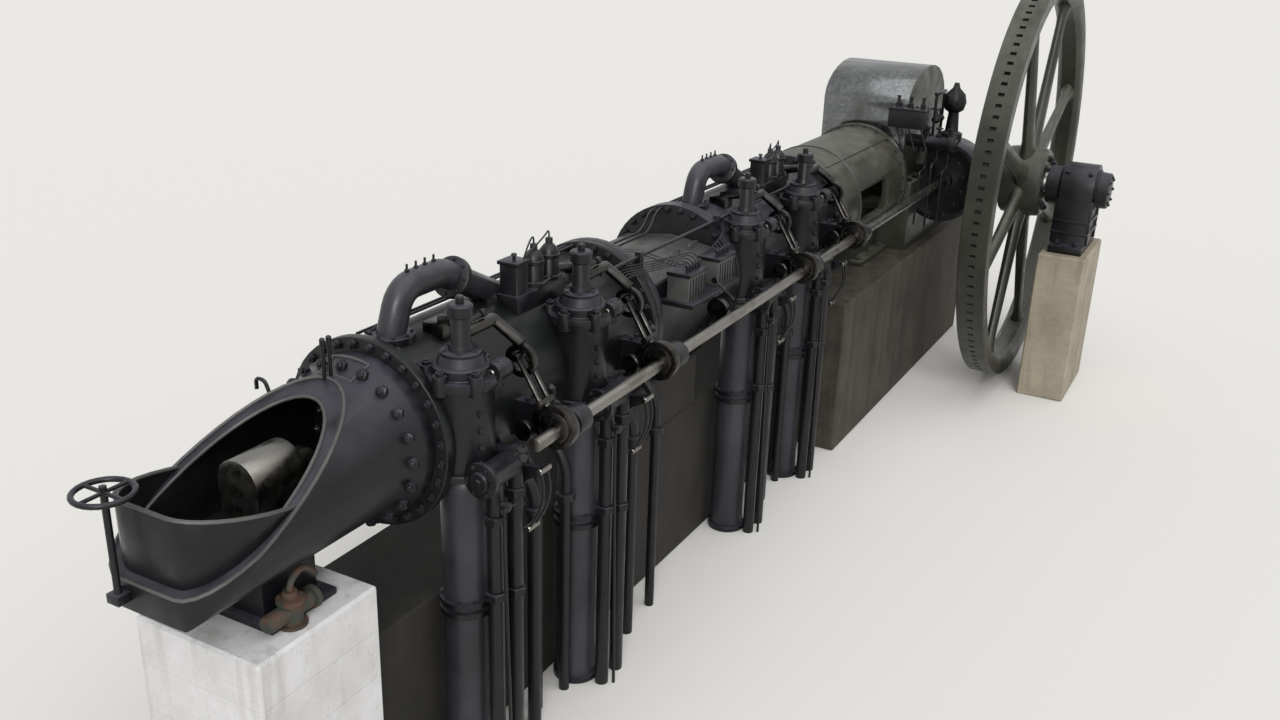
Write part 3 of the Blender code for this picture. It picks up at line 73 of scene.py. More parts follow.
X, Y, Z = Vector((1, 0, 0)), Vector((0, 1, 0)), Vector((0, 0, 1))
axis_z = middle_of("crankshaft").z
wheel = middle_of("flywheel")
wheel_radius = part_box("flywheel")[1].z - wheel.z
shaft_side = middle_of("shaft_bracket_1").y
strip_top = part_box("foundation_strip")[1].z
nose_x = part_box("tail_guide")[0].x
guide_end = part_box("tail_guide")[1].x
distance_start, distance_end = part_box("distance_piece")[0].x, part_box("distance_piece")[1].x
main_guide_start, main_guide_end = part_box("main_guide")[0].x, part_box("main_guide")[1].x
flange_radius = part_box("crank_cylinder")[1].z - axis_z
FLANGE_THICKNESS = 0.09
FLANGE_OVER_BARREL = 0.08
BARREL_RADIUS = flange_radius - FLANGE_OVER_BARREL
station_count = 4
station_x = [middle_of(f"eccentric_rod_{n + 1}").x for n in range(station_count)]
chest_x = [middle_of(f"exhaust_column_{n + 1}").x for n in range(station_count)]
chest_side = middle_of("exhaust_column_1").y


def spot(x, y, z):
    """A point given along the engine from its crankshaft, across it, and above its axis."""
    return Vector((x, y, axis_z + z))


print("Valve stations at", [round(x, 2) for x in station_x])

# %% [markdown]
# ## Camera
# The photograph was taken from high up beyond the tail, looking down along the engine. The camera's place
# and turn were worked out from the engine's own straight lines and round flanges.

# %% Camera at the photograph's angle
CAMERA_FROM_NOSE = Vector((-3.87, -5.25, 4.85))  # from the nose, the axis and the top of the strip
CAMERA_LENS_MM = 33.615
SENSOR_MM = 36
LOOK = Vector((0.82146595, 0.44116018, -0.36134663))
ROLL = 0.0326024

bpy.ops.object.camera_add(location=Vector((nose_x, 0, strip_top)) + CAMERA_FROM_NOSE)
camera = bpy.context.object
level = LOOK.cross(Z).normalized()
upward = level.cross(LOOK)
right = level * math.cos(ROLL) + upward * math.sin(ROLL)
up = upward * math.cos(ROLL) - level * math.sin(ROLL)
camera.rotation_euler = Matrix((right, up, -LOOK)).transposed().to_euler()
camera.data.lens = CAMERA_LENS_MM
camera.data.sensor_width = SENSOR_MM
camera.data.clip_end = 1000
bpy.context.scene.camera = camera
bpy.context.scene.view_settings.view_transform = "Standard"
print("The camera stands at", [round(length, 2) for length in camera.location])

# %% [markdown]
# ## Colours and nodes
# A maker matches paint by its sRGB hex value, but a shader works in linear light, so one function turns
# one into the other. Another adds any node with its settings and links, which keeps each finish short
# enough to read.


# %% Colour and node helpers
def linear(hex_colour):
    """A linear colour with alpha from an sRGB value such as "8a8c8b"."""
    parts = [int(hex_colour[i : i + 2], 16) / 255 for i in (0, 2, 4)]
    return [c / 12.92 if c <= 0.04045 else ((c + 0.055) / 1.055) ** 2.4 for c in parts] + [1]


def plug(tree, node, inputs):
    """Fills a node's inputs with values, or with links from sockets or from other nodes' first outputs."""
    for place, value in inputs.items():
        if isinstance(value, bpy.types.Node):
            value = next(out for out in value.outputs if out.enabled)
        if isinstance(value, bpy.types.NodeSocket):
            tree.links.new(value, node.inputs[place])
        else:
            node.inputs[place].default_value = value


def add_node(tree, kind, inputs=None, stops=(), **settings):
    """Adds a shader node with its settings, the stops of its colour ramp, and its inputs."""
    made = tree.nodes.new("ShaderNode" + kind)
    for setting, value in settings.items():
        setattr(made, setting, value)
    for element, (position, colour) in zip(made.color_ramp.elements if stops else (), stops):
        element.position = position
        element.color = linear(colour)
    plug(tree, made, inputs or {})
    return made


def new_finish(name, constants):
    """A material with its tree, its Principled shader, and the piece's own coordinates."""
    print("Finish:", name)
    made = bpy.data.materials.new(name)
    made.use_nodes = True
    shader = made.node_tree.nodes["Principled BSDF"]
    plug(made.node_tree, shader, constants)
    place = add_node(made.node_tree, "TexCoord").outputs["Object"]
    return made, made.node_tree, shader, place


print("Middle grey in linear light is", round(linear("808080")[0], 3))

# %% [markdown]
# ## Painted cast iron
# The castings are sand-cast grey iron under black engine paint. Oil has been wiped over the paint for so
# long that it looks like graphite: almost black, with broad soft highlights, brown where grease has
# gathered, and paler on upward faces: partly dust on the film, partly a painted sheen for the light from
# above. Runs of oil are a noise stretched upright.
# Sand grain is about 1 mm, which would not show, so it is drawn at 14 mm. The arches and columns get a
# lighter copy of the paint, a faint violet grey that is a painted highlight for the window light on them.

# %% Painted castings
SAND_GRAIN_MM = 14
OIL_RUN_MM = 90
PATCH_MM = 900
GLOSS_PATCH_MM = 210


def painted_iron(name, dark, pale, dust_and_sheen, grease, dust_and_sheen_share=0.5):
    """Engine paint over sand-cast iron, oiled and dusty, with a painted sheen on its upward faces."""
    film_of_oil = {"Specular IOR Level": 0.3, "Coat Weight": 0.1, "Coat Roughness": 0.2}
    made, tree, shader, place = new_finish(name, film_of_oil)
    patch = add_node(tree, "TexNoise", {"Vector": place, "Scale": 1000 / PATCH_MM, "Detail": 4})
    paint = add_node(tree, "ValToRGB", {"Fac": patch}, ((0.38, dark), (0.64, pale)))
    upright = add_node(tree, "Mapping", {"Vector": place, "Scale": (1, 1, 0.12)})
    run = add_node(tree, "TexNoise", {"Vector": upright, "Scale": 1000 / OIL_RUN_MM, "Detail": 6})
    wet = add_node(tree, "ValToRGB", {"Fac": run}, ((0.52, "000000"), (0.68, "9a9a9a")))
    oiled = add_node(tree, "Mix", {0: wet, 6: paint, 7: linear(grease)}, data_type="RGBA")
    # Upward faces are lightened with the third colour: partly dust, partly a painted sheen for the light from
    # above.
    normal = add_node(tree, "NewGeometry").outputs["Normal"]
    height = add_node(tree, "SeparateXYZ", {"Vector": normal}).outputs["Z"]
    upward_dust_and_sheen = add_node(tree, "ValToRGB", {"Fac": height}, ((0.3, "000000"), (0.95, "ffffff")))
    speck = add_node(tree, "TexNoise", {"Vector": place, "Scale": 1000 / GLOSS_PATCH_MM, "Detail": 8})
    patchy_dust_and_sheen = add_node(tree, "ValToRGB", {"Fac": speck}, ((0.2, "000000"), (0.75, "ffffff")))
    film = add_node(tree, "Math", {0: upward_dust_and_sheen, 1: patchy_dust_and_sheen}, operation="MULTIPLY")
    share = add_node(tree, "Math", {0: film, 1: dust_and_sheen_share}, operation="MULTIPLY")
    dust_and_sheen_mixed = add_node(tree, "Mix", {0: share, 6: oiled, 7: linear(dust_and_sheen)}, data_type="RGBA")
    shine = add_node(tree, "TexNoise", {"Vector": place, "Scale": 1000 / GLOSS_PATCH_MM, "Detail": 7})
    spread = {"Value": shine, "From Min": 0.3, "From Max": 0.7, "To Min": 0.28, "To Max": 0.55}
    sand = add_node(tree, "TexNoise", {"Vector": place, "Scale": 1000 / SAND_GRAIN_MM, "Detail": 3})
    relief = add_node(tree, "Bump", {"Height": sand, "Strength": 1, "Distance": 0.0016})
    gloss = add_node(tree, "MapRange", spread)
    plug(tree, shader, {"Base Color": dust_and_sheen_mixed, "Roughness": gloss, "Normal": relief})
    return made


# The third colour of each paint is its dust and painted sheen on upward faces.
oily_iron = painted_iron("oiled black engine paint", "0a0a0b", "151418", "524e5a", "0f0d0b", 0.55)
olive_iron = painted_iron("olive engine paint", "25251f", "36362f", "6c6b62", "15120e", 0.75)
jacket_iron = painted_iron("blue-black jacket paint", "060707", "0d0f10", "1f2223", "0a0908", 0.25)
# A lighter copy of the black paint: a painted highlight for the window light on the arches and columns.
window_lit_iron = painted_iron("engine paint lightened as painted window light", "212024", "353439", "69676e", "171618", 0.6)

# %% [markdown]
# ## Machined steel
# The side shaft is turned mild steel, bare and kept bright with an oily rag. Metal takes its colour from
# what it mirrors, so the base is a plain light grey, and the life comes from the gloss: fine marks round
# the work, and a warm bloom where old oil has dried. The rods and levers are the same steel under a black
# film of burnt oil.

# %% Bare steel
DRIED_OIL_MM = 130
SMEAR_MM = 70
TOOL_MARK_MM = 6


def bare_steel(name, clean, oiled, sheen, dull):
    """Machined steel with dried oil on it, whose gloss runs from a sheen to dull."""
    made, tree, shader, place = new_finish(name, {"Metallic": 1})
    along = add_node(tree, "Mapping", {"Vector": place, "Scale": (0.3, 1, 1)})
    dried = add_node(tree, "TexNoise", {"Vector": along, "Scale": 1000 / DRIED_OIL_MM, "Detail": 6})
    bloom = add_node(tree, "ValToRGB", {"Fac": dried}, ((0.45, clean), (0.7, oiled)))
    smear = add_node(tree, "TexNoise", {"Vector": place, "Scale": 1000 / SMEAR_MM, "Detail": 6})
    spread = {"Value": smear, "From Min": 0.3, "From Max": 0.7, "To Min": sheen, "To Max": dull}
    turning = add_node(tree, "Mapping", {"Vector": place, "Scale": (6, 1, 1)})
    marks = add_node(tree, "TexNoise", {"Vector": turning, "Scale": 1000 / TOOL_MARK_MM, "Detail": 4})
    relief = add_node(tree, "Bump", {"Height": marks, "Strength": 1, "Distance": 0.00025})
    gloss = add_node(tree, "MapRange", spread)
    plug(tree, shader, {"Base Color": bloom, "Roughness": gloss, "Normal": relief})
    return made


bright_steel = bare_steel("turned mild steel", "898782", "655f57", 0.24, 0.42)
oiled_steel = bare_steel("oil-blackened steel", "4a4846", "252321", 0.2, 0.4)

# %% [markdown]
# ## Galvanised sheet
# The crank hood is rolled from galvanised sheet. The zinc freezes in feathery crystals, the spangle, that
# catch the light one by one. A real spangle is about 10 mm across; 40 mm is drawn so that it shows. Sheet
# rolled by hand keeps a slight flat between two passes, so lamps are mirrored in it as bands.

# %% Zinc spangle
SPANGLE_MM = 40
ROLLED_FLAT_MM = 300
RAIN_RUN_MM = 300
galvanised, tree, shader, place = new_finish("galvanised sheet", {"Metallic": 0.9})
cells = add_node(tree, "TexVoronoi", {"Vector": place, "Scale": 1000 / SPANGLE_MM})
crystal = add_node(tree, "SeparateColor", {"Color": cells.outputs["Color"]}).outputs["Red"]
zinc = add_node(tree, "ValToRGB", {"Fac": crystal}, ((0, "686a6c"), (1, "7e8080")))
upright = add_node(tree, "Mapping", {"Vector": place, "Scale": (1, 1, 0.25)})
run = add_node(tree, "TexNoise", {"Vector": upright, "Scale": 1000 / RAIN_RUN_MM, "Detail": 6})
stain = add_node(tree, "ValToRGB", {"Fac": run}, ((0.5, "000000"), (0.75, "ffffff")))
sheet = add_node(tree, "Mix", {0: stain, 6: zinc, 7: linear("5c5c5a")}, data_type="RGBA")
gloss = add_node(tree, "MapRange", {"Value": crystal, "To Min": 0.2, "To Max": 0.26})
height = add_node(tree, "SeparateXYZ", {"Vector": place}).outputs["Z"]
turns = add_node(tree, "Math", {0: height, 1: 2 * math.pi * 1000 / ROLLED_FLAT_MM}, operation="MULTIPLY")
flats = add_node(tree, "Math", {0: turns}, operation="SINE")
relief = add_node(tree, "Bump", {"Height": flats, "Strength": 1, "Distance": 0.008})
plug(tree, shader, {"Base Color": sheet, "Roughness": gloss, "Normal": relief})

# %% [markdown]
# ## Sheet plate
# Covers are mild steel plate, painted grey once and scuffed by boots and tools since.

# %% Scuffed plate
SCRAPE_MM = 60
FADED_PATCH_MM = 400
HAND_SMEAR_MM = 90
plate, tree, shader, place = new_finish("scuffed grey plate", {"Metallic": 0.3})
along = add_node(tree, "Mapping", {"Vector": place, "Scale": (0.4, 1, 1)})
scrape = add_node(tree, "TexNoise", {"Vector": along, "Scale": 1000 / SCRAPE_MM, "Detail": 8})
scuffs = add_node(tree, "ValToRGB", {"Fac": scrape}, ((0.54, "000000"), (0.8, "8c8c8c")))
tone = add_node(tree, "TexNoise", {"Vector": place, "Scale": 1000 / FADED_PATCH_MM, "Detail": 4})
paint = add_node(tree, "ValToRGB", {"Fac": tone}, ((0.4, "464646"), (0.62, "5a5957")))
worn = add_node(tree, "Mix", {0: scuffs, 6: paint, 7: linear("6d6b67")}, data_type="RGBA")
smear = add_node(tree, "TexNoise", {"Vector": place, "Scale": 1000 / HAND_SMEAR_MM, "Detail": 6})
gloss = add_node(tree, "MapRange", {"Value": smear, "To Min": 0.3, "To Max": 0.65})
relief = add_node(tree, "Bump", {"Height": scrape, "Strength": 1, "Distance": 0.00015})
plug(tree, shader, {"Base Color": worn, "Roughness": gloss, "Normal": relief})

# %% [markdown]
# ## Concrete
# The foundation is poured concrete. It shows the lines of the boards that held it, pits left by air, and
# dark runs of oil below the engine. The tail pier was whitewashed. The pier of the crank bay is splashed
# with oil and darkened further as painted shade, and the long strip below the cylinders is nearly black,
# partly with oil and partly as painted shade for the pit under the engine. They share the pattern and not
# the colour.

# %% Cast concrete
BOARD_MM = 180
STAIN_MM = 160
BLOT_MM = 500
AIR_HOLE_MM = 30  # real ones are under 10 mm, which would not show


def cast_concrete(name, base, pale, oil, first_stain=0.53):
    """Board-marked concrete with oil running down its faces."""
    made, tree, shader, place = new_finish(name, {})
    blotches = {"Vector": place, "Scale": 1000 / BLOT_MM, "Detail": 8, "Roughness": 0.65}
    blot = add_node(tree, "TexNoise", blotches)
    tone = add_node(tree, "ValToRGB", {"Fac": blot}, ((0.35, base), (0.65, pale)))
    upright = add_node(tree, "Mapping", {"Vector": place, "Scale": (1, 1, 0.1)})
    run = add_node(tree, "TexNoise", {"Vector": upright, "Scale": 1000 / STAIN_MM, "Detail": 6})
    wet = add_node(tree, "ValToRGB", {"Fac": run}, ((first_stain, "000000"), (first_stain + 0.2, "b0b0b0")))
    stained = add_node(tree, "Mix", {0: wet, 6: tone, 7: linear(oil)}, data_type="RGBA")
    height = add_node(tree, "SeparateXYZ", {"Vector": place}).outputs["Z"]
    course = add_node(tree, "Math", {0: height, 1: 1000 / BOARD_MM}, operation="MULTIPLY")
    within = add_node(tree, "Math", {0: course, 1: 1}, operation="PINGPONG")
    joint = add_node(tree, "ValToRGB", {"Fac": within}, ((0, "000000"), (0.05, "ffffff")))
    air = add_node(tree, "TexNoise", {"Vector": place, "Scale": 1000 / AIR_HOLE_MM, "Detail": 2})
    pits = add_node(tree, "ValToRGB", {"Fac": air}, ((0.62, "ffffff"), (0.7, "000000")))
    surface = add_node(tree, "Math", {0: joint, 1: pits}, operation="ADD")
    relief = add_node(tree, "Bump", {"Height": surface, "Strength": 1, "Distance": 0.0025})
    gloss = add_node(tree, "MapRange", {"Value": blot, "To Min": 0.7, "To Max": 0.95})
    plug(tree, shader, {"Base Color": stained, "Roughness": gloss, "Normal": relief})
    return made


concrete = cast_concrete("board-marked concrete", "837b6b", "9d9482", "453e34")
# The pier of the crank bay: oil splashes, darkened further as painted shade.
splashed_and_shaded_concrete = cast_concrete("oil-splashed concrete darkened as painted shade", "2d2922", "463f35", "14110e", 0.44)
white_concrete = cast_concrete("whitewashed concrete", "bdbcbb", "d0cfd0", "77736b", 0.55)
# The strip and the distance pier: oil, darkened to near black as painted shade of the pit.
oil_and_shade_concrete = cast_concrete("oil-soaked concrete darkened as painted shade", "171513", "25221e", "0b0a09", 0.45)

# %% [markdown]
# ## Weathered fitting
# One small pump on the tail pier is rusty, with green paint left in its hollows.

# %% Rust and old green paint
FLAKE_MM = 120
weathered, tree, shader, place = new_finish("rusty green fitting", {"Metallic": 0.1})
flake = add_node(tree, "TexNoise", {"Vector": place, "Scale": 1000 / FLAKE_MM, "Detail": 9})
rust = add_node(tree, "ValToRGB", {"Fac": flake}, ((0.46, "31352f"), (0.6, "4f382b")))
gloss = add_node(tree, "MapRange", {"Value": flake, "To Min": 0.5, "To Max": 0.9})
relief = add_node(tree, "Bump", {"Height": flake, "Strength": 1, "Distance": 0.003})
plug(tree, shader, {"Base Color": rust, "Roughness": gloss, "Normal": relief})

# %% [markdown]
# Each solid comes with a slot that says what it is made of, and most finishes go with a slot.

# %% Finish of each slot
FINISHES = {
    "concrete": concrete,
    "white_concrete": white_concrete,
    "oily_iron": oily_iron,
    "olive_iron": olive_iron,
    "bright_steel": bright_steel,
    "galvanised": galvanised,
    "plate": plate,
}
print(len(FINISHES), "slots have a finish")

# %% [markdown]
# ## Ways to make a piece
# Most of the engine was turned, sawn from bar or bent from pipe, so there is one helper for each way of
# working. Every piece ends in the same way: its place goes into its mesh, its round faces are smoothed,
# and it gets a finish and a body to ride on.


# %% Finishing a piece
SMOOTH_ANGLE = math.radians(35)


def only(piece):
    """Makes one piece the only one selected, and the active one."""
    bpy.ops.object.select_all(action="DESELECT")
    piece.select_set(True)
    bpy.context.view_layer.objects.active = piece


def outwards(piece):
    """Welds a piece's doubles and turns its faces outwards."""
    only(piece)
    bpy.ops.object.mode_set(mode="EDIT")
    bpy.ops.mesh.select_all(action="SELECT")
    bpy.ops.mesh.remove_doubles(threshold=0.0001)
    bpy.ops.mesh.normals_make_consistent(inside=False)
    bpy.ops.object.mode_set(mode="OBJECT")
    return piece


def assembled(name, pieces):
    """Joins pieces into one."""
    bpy.context.view_layer.update()
    only(pieces[0])
    for piece in pieces[1:]:
        piece.select_set(True)
    bpy.ops.object.join()
    pieces[0].name = name
    return pieces[0]


def settle(piece, finish=oily_iron, body="frame"):
    """Puts a piece's place in its mesh, smooths it, and gives it a finish and a body to ride on."""
    print(piece.name, "has", len(piece.data.polygons), "faces")
    only(piece)
    bpy.ops.object.transform_apply(location=True, rotation=True, scale=True)
    bpy.ops.object.shade_smooth_by_angle(angle=SMOOTH_ANGLE)
    piece.data.materials.clear()
    piece.data.materials.append(finish)
    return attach(piece, body)


# %% [markdown]
# A turned piece starts as a disc and is drawn out step by step along its axis, as a lathe cuts one
# diameter after another. Most turned lengths have a small chamfer at both ends.


# %% Turned pieces
def chamfered(start, end, radius, along=0.006, inwards=0.006):
    """The outline of a plain turned length, chamfered at both ends."""
    low_radius = radius - inwards
    return [(start, low_radius), (start + along, radius), (end - along, radius), (end, low_radius)]


def turned(name, way, at, outline, sides=32, ring=False):
    """A disc or a ring drawn out along its axis through steps of (distance along, radius)."""
    (along, radius), *steps = outline
    bpy.ops.object.select_all(action="DESELECT")
    bpy.ops.mesh.primitive_circle_add(
        vertices=sides,
        radius=radius,
        fill_type="NOTHING" if ring else "NGON",
        location=at + way * along,
        rotation=way.to_track_quat("Z", "Y").to_euler(),
    )
    made = bpy.context.object
    made.name = name
    bpy.ops.object.transform_apply(location=True, rotation=True, scale=True)
    bpy.ops.object.mode_set(mode="EDIT")
    bpy.ops.mesh.select_all(action="SELECT")
    for next_along, next_radius in steps:
        bpy.ops.mesh.extrude_region_move(TRANSFORM_OT_translate={"value": way * (next_along - along)})
        bpy.ops.transform.resize(value=(next_radius / radius,) * 3, center_override=at + way * next_along)
        along, radius = next_along, next_radius
    if ring:
        bpy.ops.mesh.select_all(action="DESELECT")
        bpy.ops.mesh.select_non_manifold()
        bpy.ops.mesh.bridge_edge_loops()
    bpy.ops.object.mode_set(mode="OBJECT")
    return outwards(made)


trial = turned("trial", Z, Vector(), chamfered(0, 0.1, 0.05))
print("A chamfered bar has", len(trial.data.polygons), "faces")
bpy.data.objects.remove(trial)

# %% [markdown]
# Bars and plates are sawn square and have their edges filed off, so a box is bevelled all over.


# %% Blocks
def block(name, low, high, chamfer=0.0):
    """A box between two corners, with its edges taken off."""
    low, high = Vector(low), Vector(high)
    bpy.ops.object.select_all(action="DESELECT")
    bpy.ops.mesh.primitive_cube_add(size=1, location=(low + high) / 2, scale=high - low)
    made = bpy.context.object
    made.name = name
    bpy.ops.object.transform_apply(location=True, rotation=True, scale=True)
    if chamfer:
        bpy.ops.object.mode_set(mode="EDIT")
        bpy.ops.mesh.select_all(action="SELECT")
        bpy.ops.mesh.bevel(offset=chamfer, segments=2, affect="EDGES")
        bpy.ops.object.mode_set(mode="OBJECT")
    return made


trial = block("trial", (0, 0, 0), (0.3, 0.2, 0.1), 0.01)
print("A block with its edges taken off has", len(trial.data.polygons), "faces")
bpy.data.objects.remove(trial)

# %% [markdown]
# A pipe starts as one point that is drawn out to a line. Its corners are rounded, as a bender does, and
# the line is given a round section. A flat piece starts as such a line too, which is filled and drawn out
# to a plate.


# %% Lines, pipes and plates
def line(name, points):
    """A line through points, left in edit mode with all of it selected."""
    bpy.ops.object.select_all(action="DESELECT")
    bpy.ops.mesh.primitive_plane_add(size=0.01)
    made = bpy.context.object
    made.name = name
    bpy.ops.object.mode_set(mode="EDIT")
    bpy.ops.mesh.select_all(action="SELECT")
    bpy.ops.mesh.merge(type="CENTER")
    bpy.ops.transform.translate(value=points[0])
    for start, end in zip(points, points[1:]):
        bpy.ops.mesh.extrude_vertices_move(TRANSFORM_OT_translate={"value": end - start})
    bpy.ops.mesh.select_all(action="SELECT")
    return made


def rounded_section(made, radius, sides):
    """Turns the lines of a mesh into pipes."""
    only(made)
    bpy.ops.object.convert(target="CURVE")
    made = bpy.context.object
    made.data.bevel_depth = radius
    made.data.bevel_resolution = sides // 2 - 2
    made.data.use_fill_caps = True
    bpy.ops.object.convert(target="MESH")
    return outwards(bpy.context.object)


def pipe(name, points, radius, bend=0.0, sides=12):
    """A pipe through corners, each rounded by a bend."""
    made = line(name, [Vector(point) for point in points])
    if bend:
        shape = bmesh.from_edit_mesh(made.data)
        for corner in shape.verts:
            corner.select_set(len(corner.link_edges) == 2)
        shape.select_flush_mode()
        bpy.ops.mesh.bevel(affect="VERTICES", offset=bend, segments=5, clamp_overlap=True)
    bpy.ops.object.mode_set(mode="OBJECT")
    return rounded_section(made, radius, sides)


def drawn(name, points, way, chamfer=0.0):
    """A flat outline, filled and drawn out along a line."""
    made = line(name, [Vector(point) for point in points])
    bpy.ops.mesh.edge_face_add()
    bpy.ops.mesh.extrude_region_move(TRANSFORM_OT_translate={"value": way})
    if chamfer:
        bpy.ops.mesh.select_all(action="SELECT")
        bpy.ops.mesh.bevel(offset=chamfer, segments=2, affect="EDGES")
    bpy.ops.object.mode_set(mode="OBJECT")
    return outwards(made)


trial = pipe("trial", [(0, 0, 0), (0.3, 0, 0), (0.3, 0.3, 0)], 0.02, 0.05)
print("A pipe with one bend has", len(trial.data.polygons), "faces")
bpy.data.objects.remove(trial)

# %% [markdown]
# ## Nuts and studs
# Hundreds of hexagon nuts hold the engine together, on studs whose ends stand proud. One is modelled with
# few faces, on a stud one unit thick, and each use is a copy at its own size with its own mesh.


# %% One nut, and how it is repeated
def around(centre, way, radius, count, size, phase=0.0, lean=0.0):
    """Places on a circle about an axis; lean turns each one outwards."""
    start = (Z if abs(way.z) < 0.9 else X).cross(way).normalized()
    side = way.cross(start)
    places = []
    for k in range(count):
        angle = 2 * math.pi * (k + phase) / count
        out = start * math.cos(angle) + side * math.sin(angle)
        places.append((centre + out * radius, (way + out * lean).normalized(), size))
    return places


def repeated(name, model, places):
    """One piece from copies of a model, each set at a (place, direction, size)."""
    made = []
    for point, way, size in places:
        copy = model.copy()
        copy.data = model.data.copy()
        bpy.context.collection.objects.link(copy)
        copy.matrix_world = Matrix.LocRotScale(point, way.to_track_quat("Z", "Y"), Vector((size, size, size)))
        made.append(copy)
    return assembled(name, made)


def nut_ring(centre, way, radius, count, size, phase=0.0):
    """One piece from a ring of nuts."""
    return repeated("nut_ring", nut, around(centre, way, radius, count, size, phase))


nut = turned("nut", Z, Vector(), [(0, 0.95), (0.74, 0.95), (0.82, 0.8)], 6)
stud_end = turned("stud_end", Z, Vector(), [(0.8, 0.5), (1.12, 0.5), (1.2, 0.38)], 8)
nut = assembled("nut_on_stud", [nut, stud_end])
print("A nut has", len(nut.data.polygons), "faces")

# %% [markdown]
# ## Copies of the solids
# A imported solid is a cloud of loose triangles, so a copy is welded and its flat faces are merged before
# anything is done with it.


# %% A copy that can be worked on
def welded_copy(node):
    """A copy of a solid with its triangles welded and its flat faces merged."""
    made = frame["nodes"][node].copy()
    made.data = made.data.copy()
    made.name = node + "_dressed"
    bpy.context.collection.objects.link(made)
    made.hide_viewport = made.hide_render = False  # a solid that is replaced already is hidden
    made.hide_set(False)
    only(made)
    bpy.ops.object.mode_set(mode="EDIT")
    bpy.ops.mesh.select_all(action="SELECT")
    bpy.ops.mesh.remove_doubles(threshold=0.0001)
    bpy.ops.mesh.dissolve_limited(angle_limit=math.radians(0.5))
    bpy.ops.object.mode_set(mode="OBJECT")
    return made


trial = welded_copy("tail_pier")
print("The tail pier is", len(trial.data.polygons), "flat faces, once its triangles are merged")
bpy.data.objects.remove(trial)

# %% [markdown]
# ## Rims of the tail guide and its pan
# The mouth of the tail guide and the sheet pan in it both end in a rounded rim, worn bright by hands. The
# rim follows the edge of the solid, so that edge is picked out by the way its faces look, copied, and
# given a round section.


# %% Beads along an edge
def beaded(name, node, way, radius):
    """A round bead along the borders of the faces that look a given way."""
    made = welded_copy(node)
    only(made)
    bpy.ops.object.mode_set(mode="EDIT")
    bpy.ops.mesh.select_mode(type="FACE")
    bpy.ops.mesh.select_all(action="DESELECT")
    shape = bmesh.from_edit_mesh(made.data)
    for face in shape.faces:
        face.select_set(face.normal.dot(way) > 0.97)
    bmesh.update_edit_mesh(made.data)
    bpy.ops.mesh.region_to_loop()
    bpy.ops.mesh.select_all(action="INVERT")
    bpy.ops.mesh.delete(type="EDGE")
    bpy.ops.mesh.select_mode(type="VERT")
    bpy.ops.object.mode_set(mode="OBJECT")
    made = rounded_section(made, radius, 8)
    made.name = name
    return made


MOUTH_SLOPE = 0.49  # the solid's own slopes
PAN_SLOPE = 0.20
guide_rim = beaded("tail_guide_rim", "tail_guide", Vector((-MOUTH_SLOPE, 0, 1)).normalized(), 0.012)
settle(guide_rim, plate)
pan_rim = beaded("tail_pan_rim", "tail_pan", Vector((PAN_SLOPE, 0, 1)).normalized(), 0.010)
settle(pan_rim, plate)

# %% [markdown]
# ## The solids, smoothed
# The edges of each copy get the small radius that a casting or a rolled bar has, because that line of
# light is what makes iron look heavy. The copy replaces the solid. The flywheel is made anew further
# down.

# %% Smooth copies
REMADE = ("flywheel",)
EDGE_RADIUS = {
    "concrete": 0.02,
    "white_concrete": 0.02,
    "oily_iron": 0.008,
    "olive_iron": 0.01,
    "bright_steel": 0.003,
    "galvanised": 0.002,
    "plate": 0.004,
}
OWN_FINISH = {
    "tail_cylinder": jacket_iron,
    # Concrete darkened as painted shade, partly oil.
    "foundation_strip": oil_and_shade_concrete,
    "distance_pier": oil_and_shade_concrete,
    "frame_pier": splashed_and_shaded_concrete,
    # Arches and columns: lighter paint as painted window light.
    "intake_arch_tail": window_lit_iron,
    "intake_arch_crank": window_lit_iron,
    "outboard_bearing": oily_iron,
    "tail_crosshead": bright_steel,
    "tail_rod": oiled_steel,
}
for number in range(1, station_count + 1):
    OWN_FINISH[f"exhaust_column_{number}"] = window_lit_iron
    for kind in ("valve_lever", "eccentric_rod", "eccentric"):
        OWN_FINISH[f"{kind}_{number}"] = oiled_steel

dressed = 0
for node, slot in slot_of.items():
    if node in REMADE:
        continue
    made = welded_copy(node)
    edge = made.modifiers.new("edge radius", "BEVEL")
    edge.width = EDGE_RADIUS[slot]
    edge.segments = 2
    edge.limit_method = "ANGLE"
    edge.angle_limit = math.radians(50)
    only(made)
    bpy.ops.object.modifier_apply(modifier=edge.name)
    settle(made, OWN_FINISH.get(node, FINISHES[slot]), body_of[node])
    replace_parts(made, node)
    dressed += 1
print("Smoothed", dressed, "solids")

# %% [markdown]
# ## Flywheel
# The rim is one heavy ring. The holes round its tread took a bar, with which the crew levered the engine
# round to its starting place. The ring is drawn out from a circle with two faces to each hole's pitch,
# and every second face on the tread is inset and pushed in.

# %% Rim with barring holes
HOLE_COUNT = 120
HOLE_HALF_WIDTH = 0.05
HOLE_DEPTH = 0.07
RIM_HALF_WIDTH = 0.175
RIM_DEPTH = 0.28
tread, inner = wheel_radius, wheel_radius - RIM_DEPTH
rim_outline = [
    (-RIM_HALF_WIDTH, tread - 0.01),
    (0.01 - RIM_HALF_WIDTH, tread),
    (-HOLE_HALF_WIDTH, tread),
    (HOLE_HALF_WIDTH, tread),
    (RIM_HALF_WIDTH - 0.01, tread),
    (RIM_HALF_WIDTH, tread - 0.01),
    (RIM_HALF_WIDTH, inner + 0.09),
    (RIM_HALF_WIDTH - 0.03, inner + 0.04),
    (0.10, inner),
    (-0.10, inner),
    (0.03 - RIM_HALF_WIDTH, inner + 0.04),
    (-RIM_HALF_WIDTH, inner + 0.09),
]
rim = turned("flywheel_rim", Y, wheel, rim_outline, 2 * HOLE_COUNT, ring=True)
only(rim)
bpy.ops.object.mode_set(mode="EDIT")
